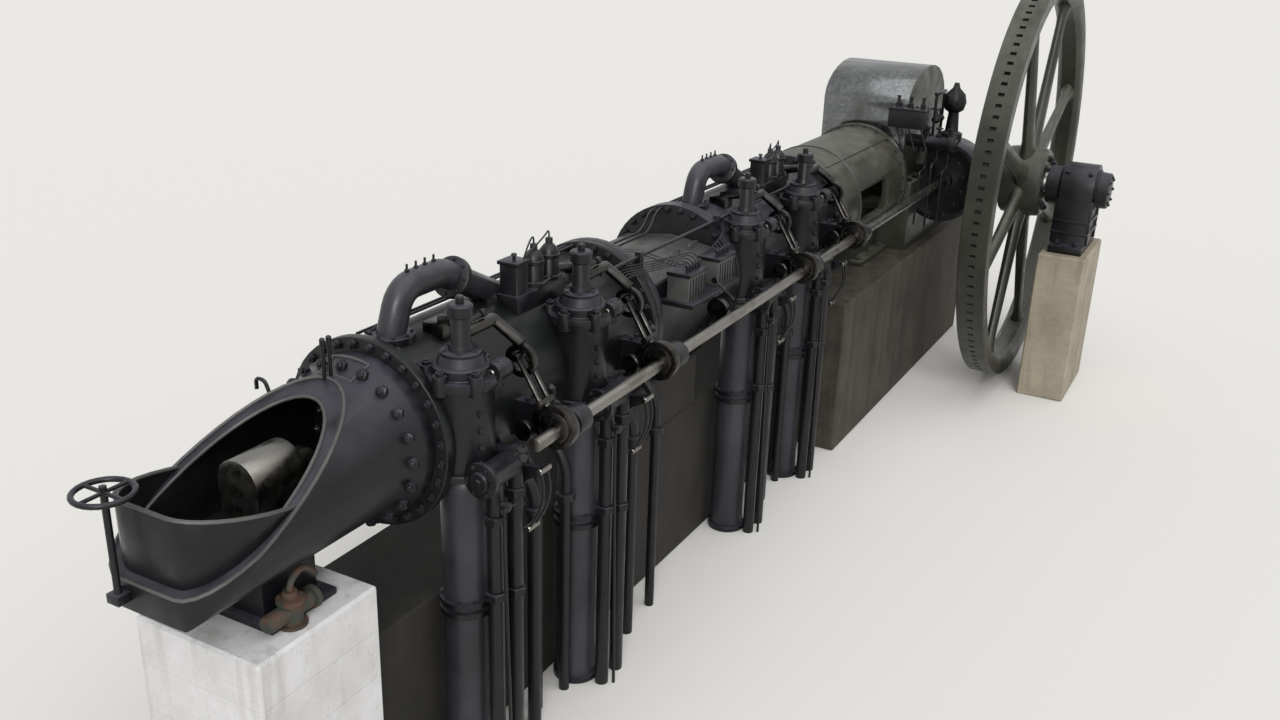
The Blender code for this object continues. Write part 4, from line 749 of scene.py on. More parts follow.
bpy.ops.mesh.select_all(action="DESELECT")
bpy.ops.mesh.select_mode(type="FACE")
shape = bmesh.from_edit_mesh(rim.data)
for face in shape.faces:
    middle = face.calc_center_median() - wheel
    pitch = math.atan2(middle.z, middle.x) / math.pi * HOLE_COUNT
    on_tread = math.hypot(middle.x, middle.z) > tread - 0.005 and abs(middle.y) < HOLE_HALF_WIDTH
    face.select_set(on_tread and math.floor(pitch) % 2 == 0)
bmesh.update_edit_mesh(rim.data)
bpy.ops.mesh.inset(thickness=0.012, use_individual=True)
bpy.ops.mesh.extrude_faces_move(TRANSFORM_OT_shrink_fatten={"value": -HOLE_DEPTH})
bpy.ops.mesh.select_mode(type="VERT")
bpy.ops.object.mode_set(mode="OBJECT")
print("The rim has", len(rim.data.polygons), "faces")

# %% [markdown]
# The arms are oval and swell where they meet hub and rim, so one is drawn out from a circle, flattened,
# and copied round the wheel. The hub is turned, with a ring of nuts on each face.

# %% Hub and arms
ARM_COUNT = 8
ARM_HALF_WIDTH = 0.13
ARM_HALF_THICKNESS = 0.08
HUB_RADIUS = 0.48
HUB_HALF_WIDTH = 0.28
ARM_STEPS = [(0.40, 1.5), (0.50, 1.2), (0.66, 1.0), (2.20, 0.76), (2.38, 0.9), (inner + 0.02, 1.35)]

arm = turned("arm", Z, Vector(), [(along, ARM_HALF_WIDTH * share) for along, share in ARM_STEPS], 16)
arm.scale.x = ARM_HALF_THICKNESS / ARM_HALF_WIDTH
only(arm)
bpy.ops.object.transform_apply(location=True, rotation=True, scale=True)
arm_ways = [
    Vector((math.cos(angle), 0, math.sin(angle)))
    for angle in (math.pi * (2 * k + 1) / ARM_COUNT for k in range(ARM_COUNT))
]
arms = repeated("flywheel_arms", arm, [(wheel, way, 1.0) for way in arm_ways])
bpy.data.objects.remove(arm)
print("The wheel has", len(arm_ways), "arms")
hub_outline = [
    (-HUB_HALF_WIDTH, HUB_RADIUS - 0.05),
    (0.03 - HUB_HALF_WIDTH, HUB_RADIUS - 0.02),
    (-0.12, HUB_RADIUS),
    (0.12, HUB_RADIUS),
    (HUB_HALF_WIDTH - 0.03, HUB_RADIUS - 0.02),
    (HUB_HALF_WIDTH, HUB_RADIUS - 0.05),
]
hub = turned("flywheel_hub", Y, wheel, hub_outline, 64)
hub_nuts = [place for way in (Y, -Y) for place in around(wheel + way * HUB_HALF_WIDTH, way, 0.34, 8, 0.05)]
hub_studs = repeated("flywheel_hub_nuts", nut, hub_nuts)
dressed_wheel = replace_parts(assembled("flywheel_dressed", [rim, hub, arms]), "flywheel")
settle(dressed_wheel, olive_iron, "rotor")
settle(hub_studs, body="rotor")

# %% [markdown]
# ## Flange nuts
# Each joint between a cylinder and its neighbour has a ring of nuts on both sides. The tail guide's nuts
# are bigger, and stand in a ring on its sloping shoulder, so they lean outwards.

# %% Nuts round the flanges
FLANGE_NUT = 0.036
SHOULDER_NUT = 0.045
MAIN_GUIDE_NUT = 0.024
NUT_CIRCLE = flange_radius - 0.045

flange_nuts = []
for x in (guide_end, distance_start, distance_end, main_guide_start):
    for way in (-X, X):
        on_guide = x == guide_end and way == -X  # the tail guide has no flange of its own
        at = spot(x, 0, 0) + way * (0 if on_guide else FLANGE_THICKNESS)
        flange_nuts += around(at, way, NUT_CIRCLE, 28, FLANGE_NUT, 0.5)
flange_nuts += around(spot(guide_end - 0.19, 0, 0), -X, 0.567, 20, SHOULDER_NUT, lean=0.45)
main_flange = spot(main_guide_end - FLANGE_THICKNESS, 0, 0)
flange_nuts += around(main_flange, -X, flange_radius + 0.005, 24, MAIN_GUIDE_NUT, 0.5)
settle(repeated("flange_nuts", nut, flange_nuts))

# %% [markdown]
# Inside the mouth of the tail guide, bright nuts hold the cylinder's head and the gland round the tail
# rod. Two thin indicator pipes rise beside them, each with a cap.

# %% Head, gland and indicator pipes
HEAD_FLANGE = 0.08
INDICATOR_X = (-0.35, -0.29)  # from the flange of the tail guide
INDICATOR_HEIGHT = 0.58

head_face = spot(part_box("tail_cylinder")[0].x, 0, 0)
head_nuts = around(head_face + X * HEAD_FLANGE, -X, 0.34, 14, 0.034)
head_nuts += around(head_face, -X, 0.155, 6, 0.026, 0.5)
settle(repeated("tail_head_nuts", nut, head_nuts), bright_steel)
for number, shift in enumerate(INDICATOR_X, start=1):
    foot = spot(guide_end + shift, 0.02, 0.20)
    top = foot + Z * INDICATOR_HEIGHT
    tube = pipe("indicator", [foot + X * 0.16, foot, top], 0.014, 0.05)
    cap = turned("indicator_cap", Z, top, [(-0.02, 0.02), (0.02, 0.02), (0.03, 0.012)], 12)
    settle(assembled(f"indicator_pipe_{number}", [tube, cap]))

# %% [markdown]
# ## Fittings of a valve station
# The four stations were built from the same patterns, so each fitting is made once, at the first station,
# and copied along the engine.


# %% Copies for the four stations
def at_each_station(made, finish=oily_iron, body="frame", stations=station_count):
    """Copies a fitting made at the first station to the others, or to the first few of them."""
    row = [made]
    for x in station_x[1:stations]:
        copy = made.copy()
        copy.data = made.data.copy()
        copy.location.x += x - station_x[0]
        bpy.context.collection.objects.link(copy)
        row.append(copy)
    return settle(assembled(made.name + "_row", row), finish, body)


station, chest = station_x[0], chest_x[0]
bonnet = spot(chest, chest_side, 0)
print("The first chest stands at", [round(length, 2) for length in bonnet])

# %% [markdown]
# The bonnet of a valve chest is held by a nut on each of its six lobes. Above it come a collar, the gland
# that packs the valve stem, and the screwed cap of the spring case. They were all turned, so each is one
# outline drawn out along the stem, as distances above the engine axis and radii.

# %% Bonnet, gland and cap
LOBE_TOP = 0.54
GLAND_TOP = 0.65
SIDE_WAY = Vector((-0.35, -0.94, 0)).normalized()
bonnet_outlines = (
    [(0.50, 0.205), (0.555, 0.205), (0.57, 0.19), (0.57, 0.16)],
    [(0.62, 0.145), (GLAND_TOP, 0.145), (0.66, 0.13), (0.66, 0.09), (0.70, 0.08)],
    [(0.89, 0.078), (0.90, 0.09), (0.97, 0.09), (0.985, 0.075), (0.985, 0.03), (1.03, 0.03), (1.04, 0.02)],
    [(-0.25, 0.235), (-0.245, 0.245), (-0.205, 0.245), (-0.195, 0.235)],
)
fitting = [turned("turning", Z, bonnet, outline) for outline in bonnet_outlines]
bonnet_nuts = around(bonnet + Z * LOBE_TOP, Z, 0.24, 6, 0.034, 0.5)
bonnet_nuts += around(bonnet + Z * GLAND_TOP, Z, 0.118, 6, 0.018)
bonnet_nuts += [(bonnet + SIDE_WAY * 0.222 + Z * z, SIDE_WAY, 0.024) for z in (-0.12, 0, 0.12, 0.24)]
at_each_station(assembled("bonnet", [*fitting, repeated("bonnet_nuts", nut, bonnet_nuts)]))

# %% [markdown]
# A lug on the near edge of the bonnet carries the pivot of the gas lever. Its web is sawn from plate, and
# the pin in it is bright.

# %% Lug and pin of the gas lever
LUG_EDGE = ((-0.68, 0.40), (-0.68, 0.50), (-0.78, 0.56), (-0.84, 0.54), (-0.86, 0.48), (-0.80, 0.40))
pivot = spot(station - 0.36, -0.80, 0.50)
web = drawn("web", [spot(station - 0.31, y, z) for y, z in LUG_EDGE], X * 0.06, 0.006)
eye = turned("eye", X, pivot, chamfered(0, 0.16, 0.075, 0.01, 0.007))
at_each_station(assembled("gas_lever_lug", [web, eye]))
pin = turned("gas_lever_pin", X, pivot, chamfered(-0.014, 0.176, 0.028))
stem_end = spot(station - 0.20, -0.60, 0.84)
stem = pipe("stem", [spot(station - 0.38, -0.60, 0.82), stem_end], 0.016)
knob = turned("knob", X, stem_end, [(0, 0.024), (0.008, 0.03), (0.04, 0.03), (0.05, 0.022)], 16)
at_each_station(pin, bright_steel)
at_each_station(assembled("gas_lever", [stem, knob]), oiled_steel)

# %% [markdown]
# The side shaft is kept in place by a set collar on each side of an eccentric. Every bracket has an oil
# cup, a raised band, and two bolts into the cylinder.

# %% Set collars, oil cups and bracket bolts
on_shaft = spot(station, shaft_side, 0)
on_bracket = on_shaft + X * 0.24
collars = [turned("collar", way, on_shaft, chamfered(0.095, 0.133, 0.078, 0.005), 24) for way in (X, -X)]
at_each_station(assembled("set_collars", collars), oiled_steel, "lay_shaft")
cup_outline = [(0.10, 0.016), (0.15, 0.016), (0.155, 0.034), (0.21, 0.034), (0.218, 0.026), (0.235, 0.008)]
cup = turned("cup", Z, on_bracket, cup_outline, 16)
band = turned("band", X, on_bracket, chamfered(-0.03, 0.03, 0.118))
bolt_places = [(spot(on_bracket.x + shift, -0.72, 0.085), Z, 0.024) for shift in (-0.045, 0.045)]
at_each_station(assembled("oil_cup", [cup, band, repeated("bolts", nut, bolt_places)]))

# %% [markdown]
# Below the shaft hangs the exhaust gear. A bell crank turns on a bracket under the cylinder, and its
# links end in bright pins. Oil and soot have made all of it the same black, so it is seen mostly by its
# edges.

# %% Exhaust bell crank
CRANK_BACK = ((-0.72, -0.36), (-0.80, -0.30), (-1.02, -0.27), (-1.05, -0.32))
CRANK_FRONT = ((-0.90, -0.40), (-0.82, -0.52), (-0.74, -0.50))
CRANK_BRACKET = ((-0.35, -0.42), (-0.35, -0.58), (-0.84, -0.44), (-0.84, -0.36))
UPPER_PIN, LINK_BEND, LOWER_PIN = (-1.03, -0.29), (-1.07, -0.52), (-0.93, -0.78)

crank = drawn("bell", [spot(station - 0.085, y, z) for y, z in CRANK_BACK + CRANK_FRONT], X * 0.05, 0.006)
hub = turned("hub", X, spot(station - 0.12, -0.79, -0.38), chamfered(0, 0.13, 0.058, 0.01, 0.008), 24)
links = [
    pipe("link", [spot(x, y, z) for y, z in (UPPER_PIN, LINK_BEND, LOWER_PIN)], 0.013, 0.12)
    for x in (station - 0.10, station - 0.02)
]
bracket = drawn("bracket", [spot(station - 0.08, y, z) for y, z in CRANK_BRACKET], X * 0.04)
at_each_station(assembled("bell_crank", [crank, hub, bracket, *links]))
pins = [
    turned("pin", X, spot(station - 0.13, y, z), chamfered(0, 0.14, 0.026), 16)
    for y, z in (UPPER_PIN, LOWER_PIN)
]
at_each_station(assembled("bell_crank_pins", pins), bright_steel)

# %% [markdown]
# A branch with a round cover lets the crew reach the exhaust valve. The cover is bolted on, and a cock
# beside it drains the port.

# %% Bolted cover and drain cock
riser_side = middle_of("gas_valve_1").y
branch_at = spot(station + 0.02, -0.52, -0.30)
branch_pipe = [(0, 0.075), (0.20, 0.075)]
branch_cover = [(0.20, 0.11), (0.245, 0.11), (0.255, 0.10), (0.255, 0.04), (0.27, 0.035)]
branch = turned("branch", -Y, branch_at, branch_pipe + branch_cover)
cover_nuts = nut_ring(branch_at - Y * 0.25, -Y, 0.085, 6, 0.015)
cock_at = spot(station - 0.44, -0.92, -0.44)
cock_outline = [(0, 0.028), (0.05, 0.028), (0.05, 0.036), (0.07, 0.036), (0.08, 0.02)]
cock = turned("cock", -Y, cock_at, cock_outline, 12)
grip, outlet = cock_at - Y * 0.07, cock_at - Y * 0.03
handle = pipe("handle", [grip - X * 0.07, grip + X * 0.09], 0.009, sides=8)
drain = pipe("drain", [outlet, outlet - Z * 0.35, spot(station - 0.40, -0.97, -axis_z)], 0.014, 0.06, 8)
port_end = spot(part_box("gas_valve_1")[0].x, riser_side, -0.20)
port_outline = [(-0.01, 0.075), (0.02, 0.075), (0.028, 0.066), (0.028, 0.03), (0.045, 0.025)]
port_ring = turned("port_ring", -X, port_end, port_outline, 24)
port_nuts = nut_ring(port_end, -X, 0.106, 6, 0.019)
at_each_station(assembled("port_cover", [branch, cover_nuts, cock, handle, drain, port_ring, port_nuts]))

# %% [markdown]
# Water and gas come up from the basement in iron pipes. The two risers of the gas valve are joined by
# hexagonal unions, and the column is built up from lengths, with a ring at each joint.

# %% Unions and column rings
UNIONS = ((-0.44, -0.60), (-0.195, -0.48), (-0.44, -1.22), (-0.195, -1.30))  # from the station and the axis
COLUMN_RING = 0.2
RING_FEET = (1.52, 1.60, 0.0)

union_outline = chamfered(0, 0.07, 0.083, 0.006, 0.008)
unions = [turned("union", Z, spot(station + x, riser_side, z), union_outline, 6) for x, z in UNIONS]
column_foot = Vector((chest, chest_side, 0))
column_rings = [
    turned("ring", Z, column_foot, chamfered(z, z + 0.056, COLUMN_RING, 0.006, 0.02))
    for z in RING_FEET
]
ring_nuts = nut_ring(column_foot + Z * 1.655, Z, 0.186, 10, 0.012)
at_each_station(assembled("station_pipes", [*unions, *column_rings, ring_nuts]))

# %% [markdown]
# The pipes from the basement leave the jacket low on its side and drop straight down, each with one
# bolted flange. The first stands beside every column. The other two would run into the pier of the crank
# bay at the last station, so that one does without.

# %% Pipes from the basement
BASEMENT_PIPES = (  # from the station, across the engine, radius, and height of the flange from the axis
    (0.34, -0.68, 0.055, -0.92),
    (0.52, -0.60, 0.035, -1.00),
    (0.86, -0.64, 0.045, -1.05),
)
FLANGE_OVER_PIPE = 0.034


def basement_pipe(shift, side, radius, joint):
    """A pipe from inside the jacket to the floor, with its flange and nuts."""
    x = station + shift
    path = [spot(x, -0.36, -0.40), spot(x, side, -0.72), spot(x, side, -axis_z)]
    made = [pipe("drop", path, radius, 0.12)]
    outer = radius + FLANGE_OVER_PIPE
    outline = [(0, outer), (0.05, outer), (0.056, outer - 0.01)]
    made.append(turned("flange", Z, spot(x, side, joint), outline, 20))
    nut_circle = radius + FLANGE_OVER_PIPE / 2
    made.append(nut_ring(spot(x, side, joint + 0.05), Z, nut_circle, 6, 0.011))
    return made


first, *others = [basement_pipe(*sizes) for sizes in BASEMENT_PIPES]
at_each_station(assembled("basement_pipe", first))
outer_pipes = assembled("outer_pipes", [part for made in others for part in made])
at_each_station(outer_pipes, stations=station_count - 1)

# %% [markdown]
# The far side of each cylinder has a round cover opposite every chest, and one long main feeds the
# jackets. The photograph does not show that side, so it follows the usual plan of such engines.

# %% Round covers and the jacket main
MAIN_SIDE, MAIN_DROP, MAIN_RADIUS = 0.76, -0.66, 0.065
FAR_BOSS = [(0, 0.19), (0.13, 0.19)]
FAR_COVER = [(0.13, 0.21), (0.165, 0.21), (0.175, 0.2), (0.175, 0.06), (0.19, 0.05)]
far_at = spot(chest, 0.52, 0)
far_cover = turned("far", Y, far_at, FAR_BOSS + FAR_COVER, 40)
far_nuts = nut_ring(far_at + Y * 0.172, Y, 0.175, 10, 0.02)
feed_x = chest + 0.4
feed_path = [spot(feed_x, 0.50, -0.30), spot(feed_x, MAIN_SIDE, -0.30), spot(feed_x, MAIN_SIDE, -0.62)]
at_each_station(assembled("far_cover", [far_cover, far_nuts, pipe("feed", feed_path, 0.035, 0.1)]))

main_start, main_end = chest_x[0] + 0.2, chest_x[-1] + 0.45
main_line = spot(0, MAIN_SIDE, MAIN_DROP)
main = turned("jacket_main", X, main_line, [(main_start, MAIN_RADIUS), (main_end, MAIN_RADIUS)], 20)
joints = [
    turned("joint", X, main_line + X * x, [(-0.04, 0.1), (0.04, 0.1)], 20)
    for x in (main_start, distance_start, distance_end, main_end)
]
corner = main_line + X * (main_end + 0.2)
down_path = [main_line + X * main_end, corner, spot(corner.x, MAIN_SIDE, -axis_z)]
down = pipe("down", down_path, MAIN_RADIUS, 0.15)
settle(assembled("jacket_main", [main, *joints, down]))

# %% [markdown]
# ## Intake arches and igniters
# Each arch is cast in two lengths, joined by a flange on its falling leg, and stands on a flange bolted
# to the jacket. Four studs stand on its crown.

# %% Arch flanges
ARCH_FALL = Vector((0.89, 0, -0.457))
ARCH_STUDS = (0.32, 0.42, 0.52, 0.62)
arch_row = []
for node in ("intake_arch_tail", "intake_arch_crank"):
    low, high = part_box(node)
    joint = Vector((low.x + 0.83, 0, high.z - 0.178))
    arch_row.append(turned("arch_flange", ARCH_FALL, joint, chamfered(-0.03, 0.03, 0.16, 0.006, 0.01), 40))
    for way in (ARCH_FALL, -ARCH_FALL):
        arch_row.append(nut_ring(joint + way * 0.028, way, 0.135, 8, 0.015))
    for foot_x in (low.x + 0.125, high.x - 0.19):
        base = spot(foot_x, 0, BARREL_RADIUS)
        arch_row.append(turned("arch_foot", Z, base, [(-0.06, 0.17), (0.03, 0.17), (0.036, 0.16)], 40))
        arch_row.append(nut_ring(base + Z * 0.032, Z, 0.145, 8, 0.018))
    for shift in ARCH_STUDS:
        stud = Vector((low.x + shift, 0, high.z))
        stud_outline = [(-0.02, 0.018), (0.012, 0.018), (0.016, 0.009), (0.05, 0.009)]
        arch_row.append(turned("arch_stud", Z, stud, stud_outline, 8))
settle(assembled("arch_fittings", arch_row))

# %% [markdown]
# Each igniter stand holds a coil box and two pots on a shelf. The box has a lid with a knob, a pot has a
# foot and a band, and stiff leads run from the box to the pots.

# %% Igniter stands
SHELF_HEIGHT = 0.143
BOX_HEIGHT = 0.235
LID = Vector((0.19, 0.19, 0.03))
KNOB_OUTLINE = [(0, 0.014), (0.03, 0.014), (0.035, 0.024), (0.05, 0.02)]
stand_row = []
for node in ("ignition_stand_tail", "ignition_stand_crank"):
    low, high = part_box(node)
    y = (low.y + high.y) / 2
    shelf = low.z + SHELF_HEIGHT
    lid_low = Vector((low.x + 0.005, low.y + 0.005, shelf + BOX_HEIGHT))
    knob_at = lid_low + Vector((0.095, 0.095, 0.03))
    stand_row.append(block("lid", lid_low, lid_low + LID, 0.006))
    stand_row.append(turned("lid_knob", Z, knob_at, KNOB_OUTLINE, 12))
    for along in (0.37, 0.59):
        pot = Vector((low.x + along, y, shelf))
        stand_row.append(turned("pot_foot", Z, pot, [(-0.01, 0.1), (0.03, 0.1), (0.036, 0.092)], 24))
        stand_row.append(turned("pot_band", Z, pot, chamfered(0.17, 0.205, 0.088, 0.005, 0.007), 24))
        stand_row.append(nut_ring(pot + Z * 0.03, Z, 0.088, 4, 0.012, 0.5))
        bend = pot + Vector((-0.12, -0.04, 0.38))
        lead = [pot + Z * 0.33, pot + Z * 0.40, bend, lid_low + Vector((0.17, 0.06, 0.02))]
        stand_row.append(pipe("lead", lead, 0.007, 0.05, 8))
    finger = Vector((low.x + 0.24, low.y - 0.03, shelf + 0.02))
    lead = [finger, finger + Vector((0.02, -0.10, 0.10)), finger + Vector((-0.30, -0.24, 0.16))]
    stand_row.append(pipe("lead", lead, 0.009, 0.06, 8))
settle(assembled("igniter_fittings", stand_row))

# %% [markdown]
# ## Rods and oil pipes along the engine
# One long thin rod works the igniters of both cylinders. Copper oil pipes, long since painted over, run
# from the lubricators to the cylinders, and come up in pairs.

# %% Long rod and oil pipes
OIL_PIPES = ((0.14, 0.655), (0.22, 0.635))  # across the engine, and above its axis on the jackets
OIL_PIPE_LOW = 0.46  # above the axis, over the distance piece
rod_ends = [spot(station_x[1] + 0.12, -0.45, 0.62), spot(station_x[3] - 0.43, -0.45, 0.60)]
run_row = [pipe("igniter_rod", rod_ends, 0.016)]
for x in (distance_start + 0.05, distance_end - 0.05):
    run_row.append(block("rod_guide", spot(x - 0.03, -0.48, 0.50), spot(x + 0.03, -0.42, 0.66), 0.006))
for side, rise in OIL_PIPES:
    corners = (
        (guide_end + 0.2, rise),
        (distance_start + 0.2, rise),
        (distance_start + 0.35, OIL_PIPE_LOW),
        (distance_end - 0.35, OIL_PIPE_LOW),
        (distance_end - 0.2, rise),
        (main_guide_start - 0.1, rise),
    )
    run_row.append(pipe("oil_pipe", [spot(x, side, z) for x, z in corners], 0.012, 0.1, 8))
settle(assembled("long_rods", run_row))

# %% [markdown]
# ## Lubricators
# Each lubricator is a cast box with a ribbed front, a hinged lid and a row of sight feeds, from which the
# thin oil pipes leave.

# %% Lubricator boxes and feeds
RIB_PITCH = 0.056
FEED_PITCH = 0.06
FEED_OUTLINE = [(0, 0.014), (0.05, 0.014), (0.055, 0.02), (0.075, 0.02), (0.08, 0.012)]
PIPE_ENDS = {"lubricator_tail": distance_start - 0.25, "lubricator_crank": distance_end + 0.25}
box_row, feed_row = [], []
for node, end_x in PIPE_ENDS.items():
    low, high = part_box(node)
    for k in range(6):
        rib = Vector((low.x + 0.03 + RIB_PITCH * k, low.y, low.z + 0.02))
        rib_top = Vector((rib.x + 0.008, low.y + 0.01, high.z - 0.05))
        box_row.append(block("rib", rib - Vector((0.008, 0.008, 0)), rib_top, 0.003))
    lid_low = Vector((low.x - 0.01, low.y - 0.012, high.z - 0.03))
    box_row.append(block("lid", lid_low, high + Vector((0.01, 0.01, 0.006)), 0.006))
    for k in range(5):
        feed = Vector((low.x + 0.05 + FEED_PITCH * k, low.y + 0.05, high.z))
        feed_row.append(turned("feed", Z, feed, FEED_OUTLINE, 10))
        end = spot(end_x, -0.5 + 0.03 * k, 0.40)
        lift = 0.09 + 0.012 * k
        path = [feed + Z * 0.07, feed + Z * lift + Y * 0.06, Vector((end.x, end.y, feed.z + lift)), end]
        feed_row.append(pipe("feed_pipe", path, 0.006, 0.05, 6))
settle(assembled("lubricator_casings", box_row))
settle(assembled("sight_feeds", feed_row))

# %% [markdown]
# A short rod swings both pumps from a ring on the side shaft. It is bare steel, black with oil.

# %% Drive of the lubricators
pump_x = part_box("lubricator_tail")[1].x
drive = [
    pipe("drive", [spot(pump_x + 0.035, -0.88, 0.30), spot(pump_x + 0.115, -1.04, 0.12)], 0.014),
    turned("eye", X, spot(pump_x + 0.015, -0.88, 0.30), [(0, 0.03), (0.04, 0.03)], 16),
    turned("ring", X, spot(pump_x + 0.085, shaft_side, 0), chamfered(0, 0.06, 0.106)),
]
settle(assembled("lubricator_drive", drive), oiled_steel)

# %% [markdown]
# ## Covers of the distance piece
# Two lids of bent plate close the space between the cylinders. They lift off by bar handles, and a strap
# along the joint keeps dirt out.

# %% Handles and straps
STRAP_HALF_WIDTH = 0.02
HANDLE = ((-0.09, -0.03), (-0.09, 0.05), (0.09, 0.05), (0.09, -0.03))
cover_row = []
for node in ("distance_cover_tail", "distance_cover_crank"):
    low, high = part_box(node)
    for x in (low.x + 0.16, high.x - 0.16):
        foot = Vector((x, low.y + 0.20, high.z - 0.045))
        grip = [foot + X * along + Z * up for along, up in HANDLE]
        cover_row.append(pipe("handle", grip, 0.009, 0.025, 8))
    near, far = low.y + 0.01, high.y - 0.01
    roof = ((near, low.z + 0.045), (0, high.z + 0.006), (far, low.z + 0.045))
    under = ((far, low.z + 0.03), (0, high.z - 0.01), (near, low.z + 0.03))
    for x in (low.x + STRAP_HALF_WIDTH, high.x - STRAP_HALF_WIDTH):
        edge = [(x - STRAP_HALF_WIDTH, y, z) for y, z in roof + under]
        cover_row.append(drawn("strap", edge, X * 2 * STRAP_HALF_WIDTH))
settle(assembled("cover_handles", cover_row), plate)

# %% [markdown]
# ## Crank end
# The gear case is closed by a ring of nuts. Big nuts hold the main bearing caps and the frame down.

# %% Nuts of the gear case and the bearings
case_at = spot(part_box("side_shaft")[1].x - 0.43, shaft_side, 0)
case_nuts = [place for place in around(case_at, -X, 0.515, 16, 0.026, 0.5) if place[0].y < -0.84]
case_nuts += around(spot(-1.01, -1.28, 0.56), -Y, 0.102, 6, 0.014)
case_nuts += around(spot(0, -1.34, 0), -Y, 0.33, 12, 0.026)
case_nuts += [(spot(x, y, 0.12), Z, 0.045) for x in (-0.30, 0.30) for y in (-0.72, -0.54, 0.54, 0.72)]
case_nuts += [(spot(x, y, 0), Z, 0.04) for x in (-1.05, -0.78, 0.78, 1.05) for y in (-0.72, 0.72)]
settle(repeated("crank_end_nuts", nut, case_nuts))

# %% [markdown]
# The outboard bearing carries the end of the crankshaft. Its pedestal is a casting with ribs and ledges,
# four bolts hold it down, and four more hold its cap. A round cover closes the near end, and a sleeve on
# the shaft keeps oil off the wheel.

# %% Outboard bearing and shaft sleeve
outboard = middle_of("outboard_bearing")
outboard_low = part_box("outboard_bearing")[0]
outboard_foot = outboard_low.z + 0.12
near, far = outboard.y - 0.25, outboard.y + 0.25
places = []
for x in (-0.44, 0.44):
    for y in (-0.12, 0.12):
        places.append((Vector((x, outboard.y + y, outboard_foot)), Z, 0.045))
for y in (-0.15, 0.15):
    for x in (-0.25, 0.25):
        places.append((spot(x, outboard.y + y, 0.235), Vector((x, 0, 0.5)).normalized(), 0.035))
fitting = [repeated("pedestal_nuts", nut, places)]
for x in (-0.30, 0.30):
    rib_low = x - 0.02, near, outboard_foot - 0.02
    fitting.append(block("rib", rib_low, (x + 0.02, far, axis_z - 0.12), 0.006))
for z in (outboard_foot + 0.12, outboard_foot + 0.28):
    fitting.append(block("ledge", (-0.37, near, z), (0.37, far, z + 0.035), 0.008))
bearing_end = spot(0, outboard_low.y, 0)
end_cover_outline = [(-0.02, 0.27), (0.03, 0.27), (0.036, 0.25), (0.16, 0.24), (0.172, 0.22)]
fitting.append(turned("end_cover", -Y, bearing_end, end_cover_outline, 48))
fitting.append(nut_ring(bearing_end - Y * 0.172, -Y, 0.19, 8, 0.022))
settle(assembled("pedestal_fittings", fitting))
sleeve_at = spot(0, outboard.y + 0.24, 0)
sleeve = turned("shaft_sleeve", Y, sleeve_at, chamfered(0, 0.18, 0.26, 0.01, 0.01), 48)
settle(sleeve, body="rotor")

# %% [markdown]
# The governor stands on the gear case between two slim pillars, with a ball on each side of its spindle.
# Nothing here is polished, so it reads as a dark thicket.

# %% Governor pillars and balls
BALL_OUTLINE = [(0.76, 0.02), (0.775, 0.045), (0.81, 0.062), (0.845, 0.045), (0.86, 0.02)]
LEVER = ((0.02, 0.06, 0.94), (-0.40, 0.20, 0.96), (-0.62, 0.34, 0.90))
governor = spot(-0.575, shaft_side, 0)
thicket = []
for way in (X, -X):
    pillar, ball = governor + way * 0.19, governor + way * 0.11
    thicket.append(pipe("pillar", [pillar + Z * 0.46, pillar + Z * 1.16], 0.02))
    thicket.append(turned("ball", Z, ball, BALL_OUTLINE, 20))
    thicket.append(pipe("ball_arm", [ball + Z * 0.84, governor + way * 0.05 + Z * 0.95], 0.012, sides=8))
bridge = governor + Vector((-0.22, -0.03, 1.15)), governor + Vector((0.22, 0.03, 1.19))
thicket.append(block("bridge", *bridge, 0.008))
thicket.append(turned("base_flange", Z, governor, [(0.50, 0.2), (0.545, 0.2), (0.555, 0.19)]))
thicket.append(nut_ring(governor + Z * 0.552, Z, 0.175, 8, 0.016))
thicket.append(pipe("lever", [governor + Vector(corner) for corner in LEVER], 0.016, 0.08))
print("The governor has", len(thicket), "parts so far")

# %% [markdown]
# The governor's lever works the trip box. Three plungers stand on its lid, and links run down from it to
# the valve gear. Three small valves stand on the cross pipe beside it, each with a drop pipe.

# %% Trip box, links and small valves
PLUNGER_OUTLINE = [(0.13, 0.035), (0.20, 0.035), (0.205, 0.02), (0.27, 0.02), (0.275, 0.03), (0.29, 0.03)]
VALVE_OUTLINE = [(0, 0.04), (0.05, 0.04), (0.06, 0.02), (0.12, 0.02), (0.125, 0.05), (0.14, 0.05)]
box = spot(-1.22, -0.67, 0.88)
lid_low, lid_high = box + Vector((-0.13, -0.26, 0.11)), box + Vector((0.13, 0.26, 0.14))
thicket.append(block("box_lid", lid_low, lid_high, 0.008))
box_nuts = []
for x in (-0.1, 0.1):
    for y in (-0.22, -0.07, 0.07, 0.22):
        box_nuts.append((box + Vector((x, y, 0.14)), Z, 0.014))
thicket.append(repeated("box_nuts", nut, box_nuts))
for shift in (-0.18, -0.01, 0.16):
    plunger = box + Y * shift
    thicket.append(turned("plunger", Z, plunger, PLUNGER_OUTLINE, 12))
    link = [plunger + Vector((-0.02, 0, -0.1)), plunger + Vector((-0.04, -0.12, -0.42))]
    thicket.append(pipe("link", link, 0.012, sides=8))
for y, drop in ((-1.20, 0.20), (-1.05, 0.12), (-0.90, 0.24)):
    top = spot(-1.01, y, 0.62)
    thicket.append(turned("valve", Z, top, VALVE_OUTLINE, 12))
    turn = top - Z * (0.2 + drop)
    path = [top - Z * 0.1, turn, turn - X * 0.22, spot(top.x - 0.22, y, -0.55)]
    thicket.append(pipe("drop", path, 0.016, 0.05, 8))
settle(assembled("governor_gear", thicket))

# %% [markdown]
# ## Hood and main guide
# The hood's near end is a flat plate in the olive of the guide, screwed on round its edge. It is the end
# face of the solid, so every other face of a copy is deleted and the one that stays gets the thickness of
# a sheet.

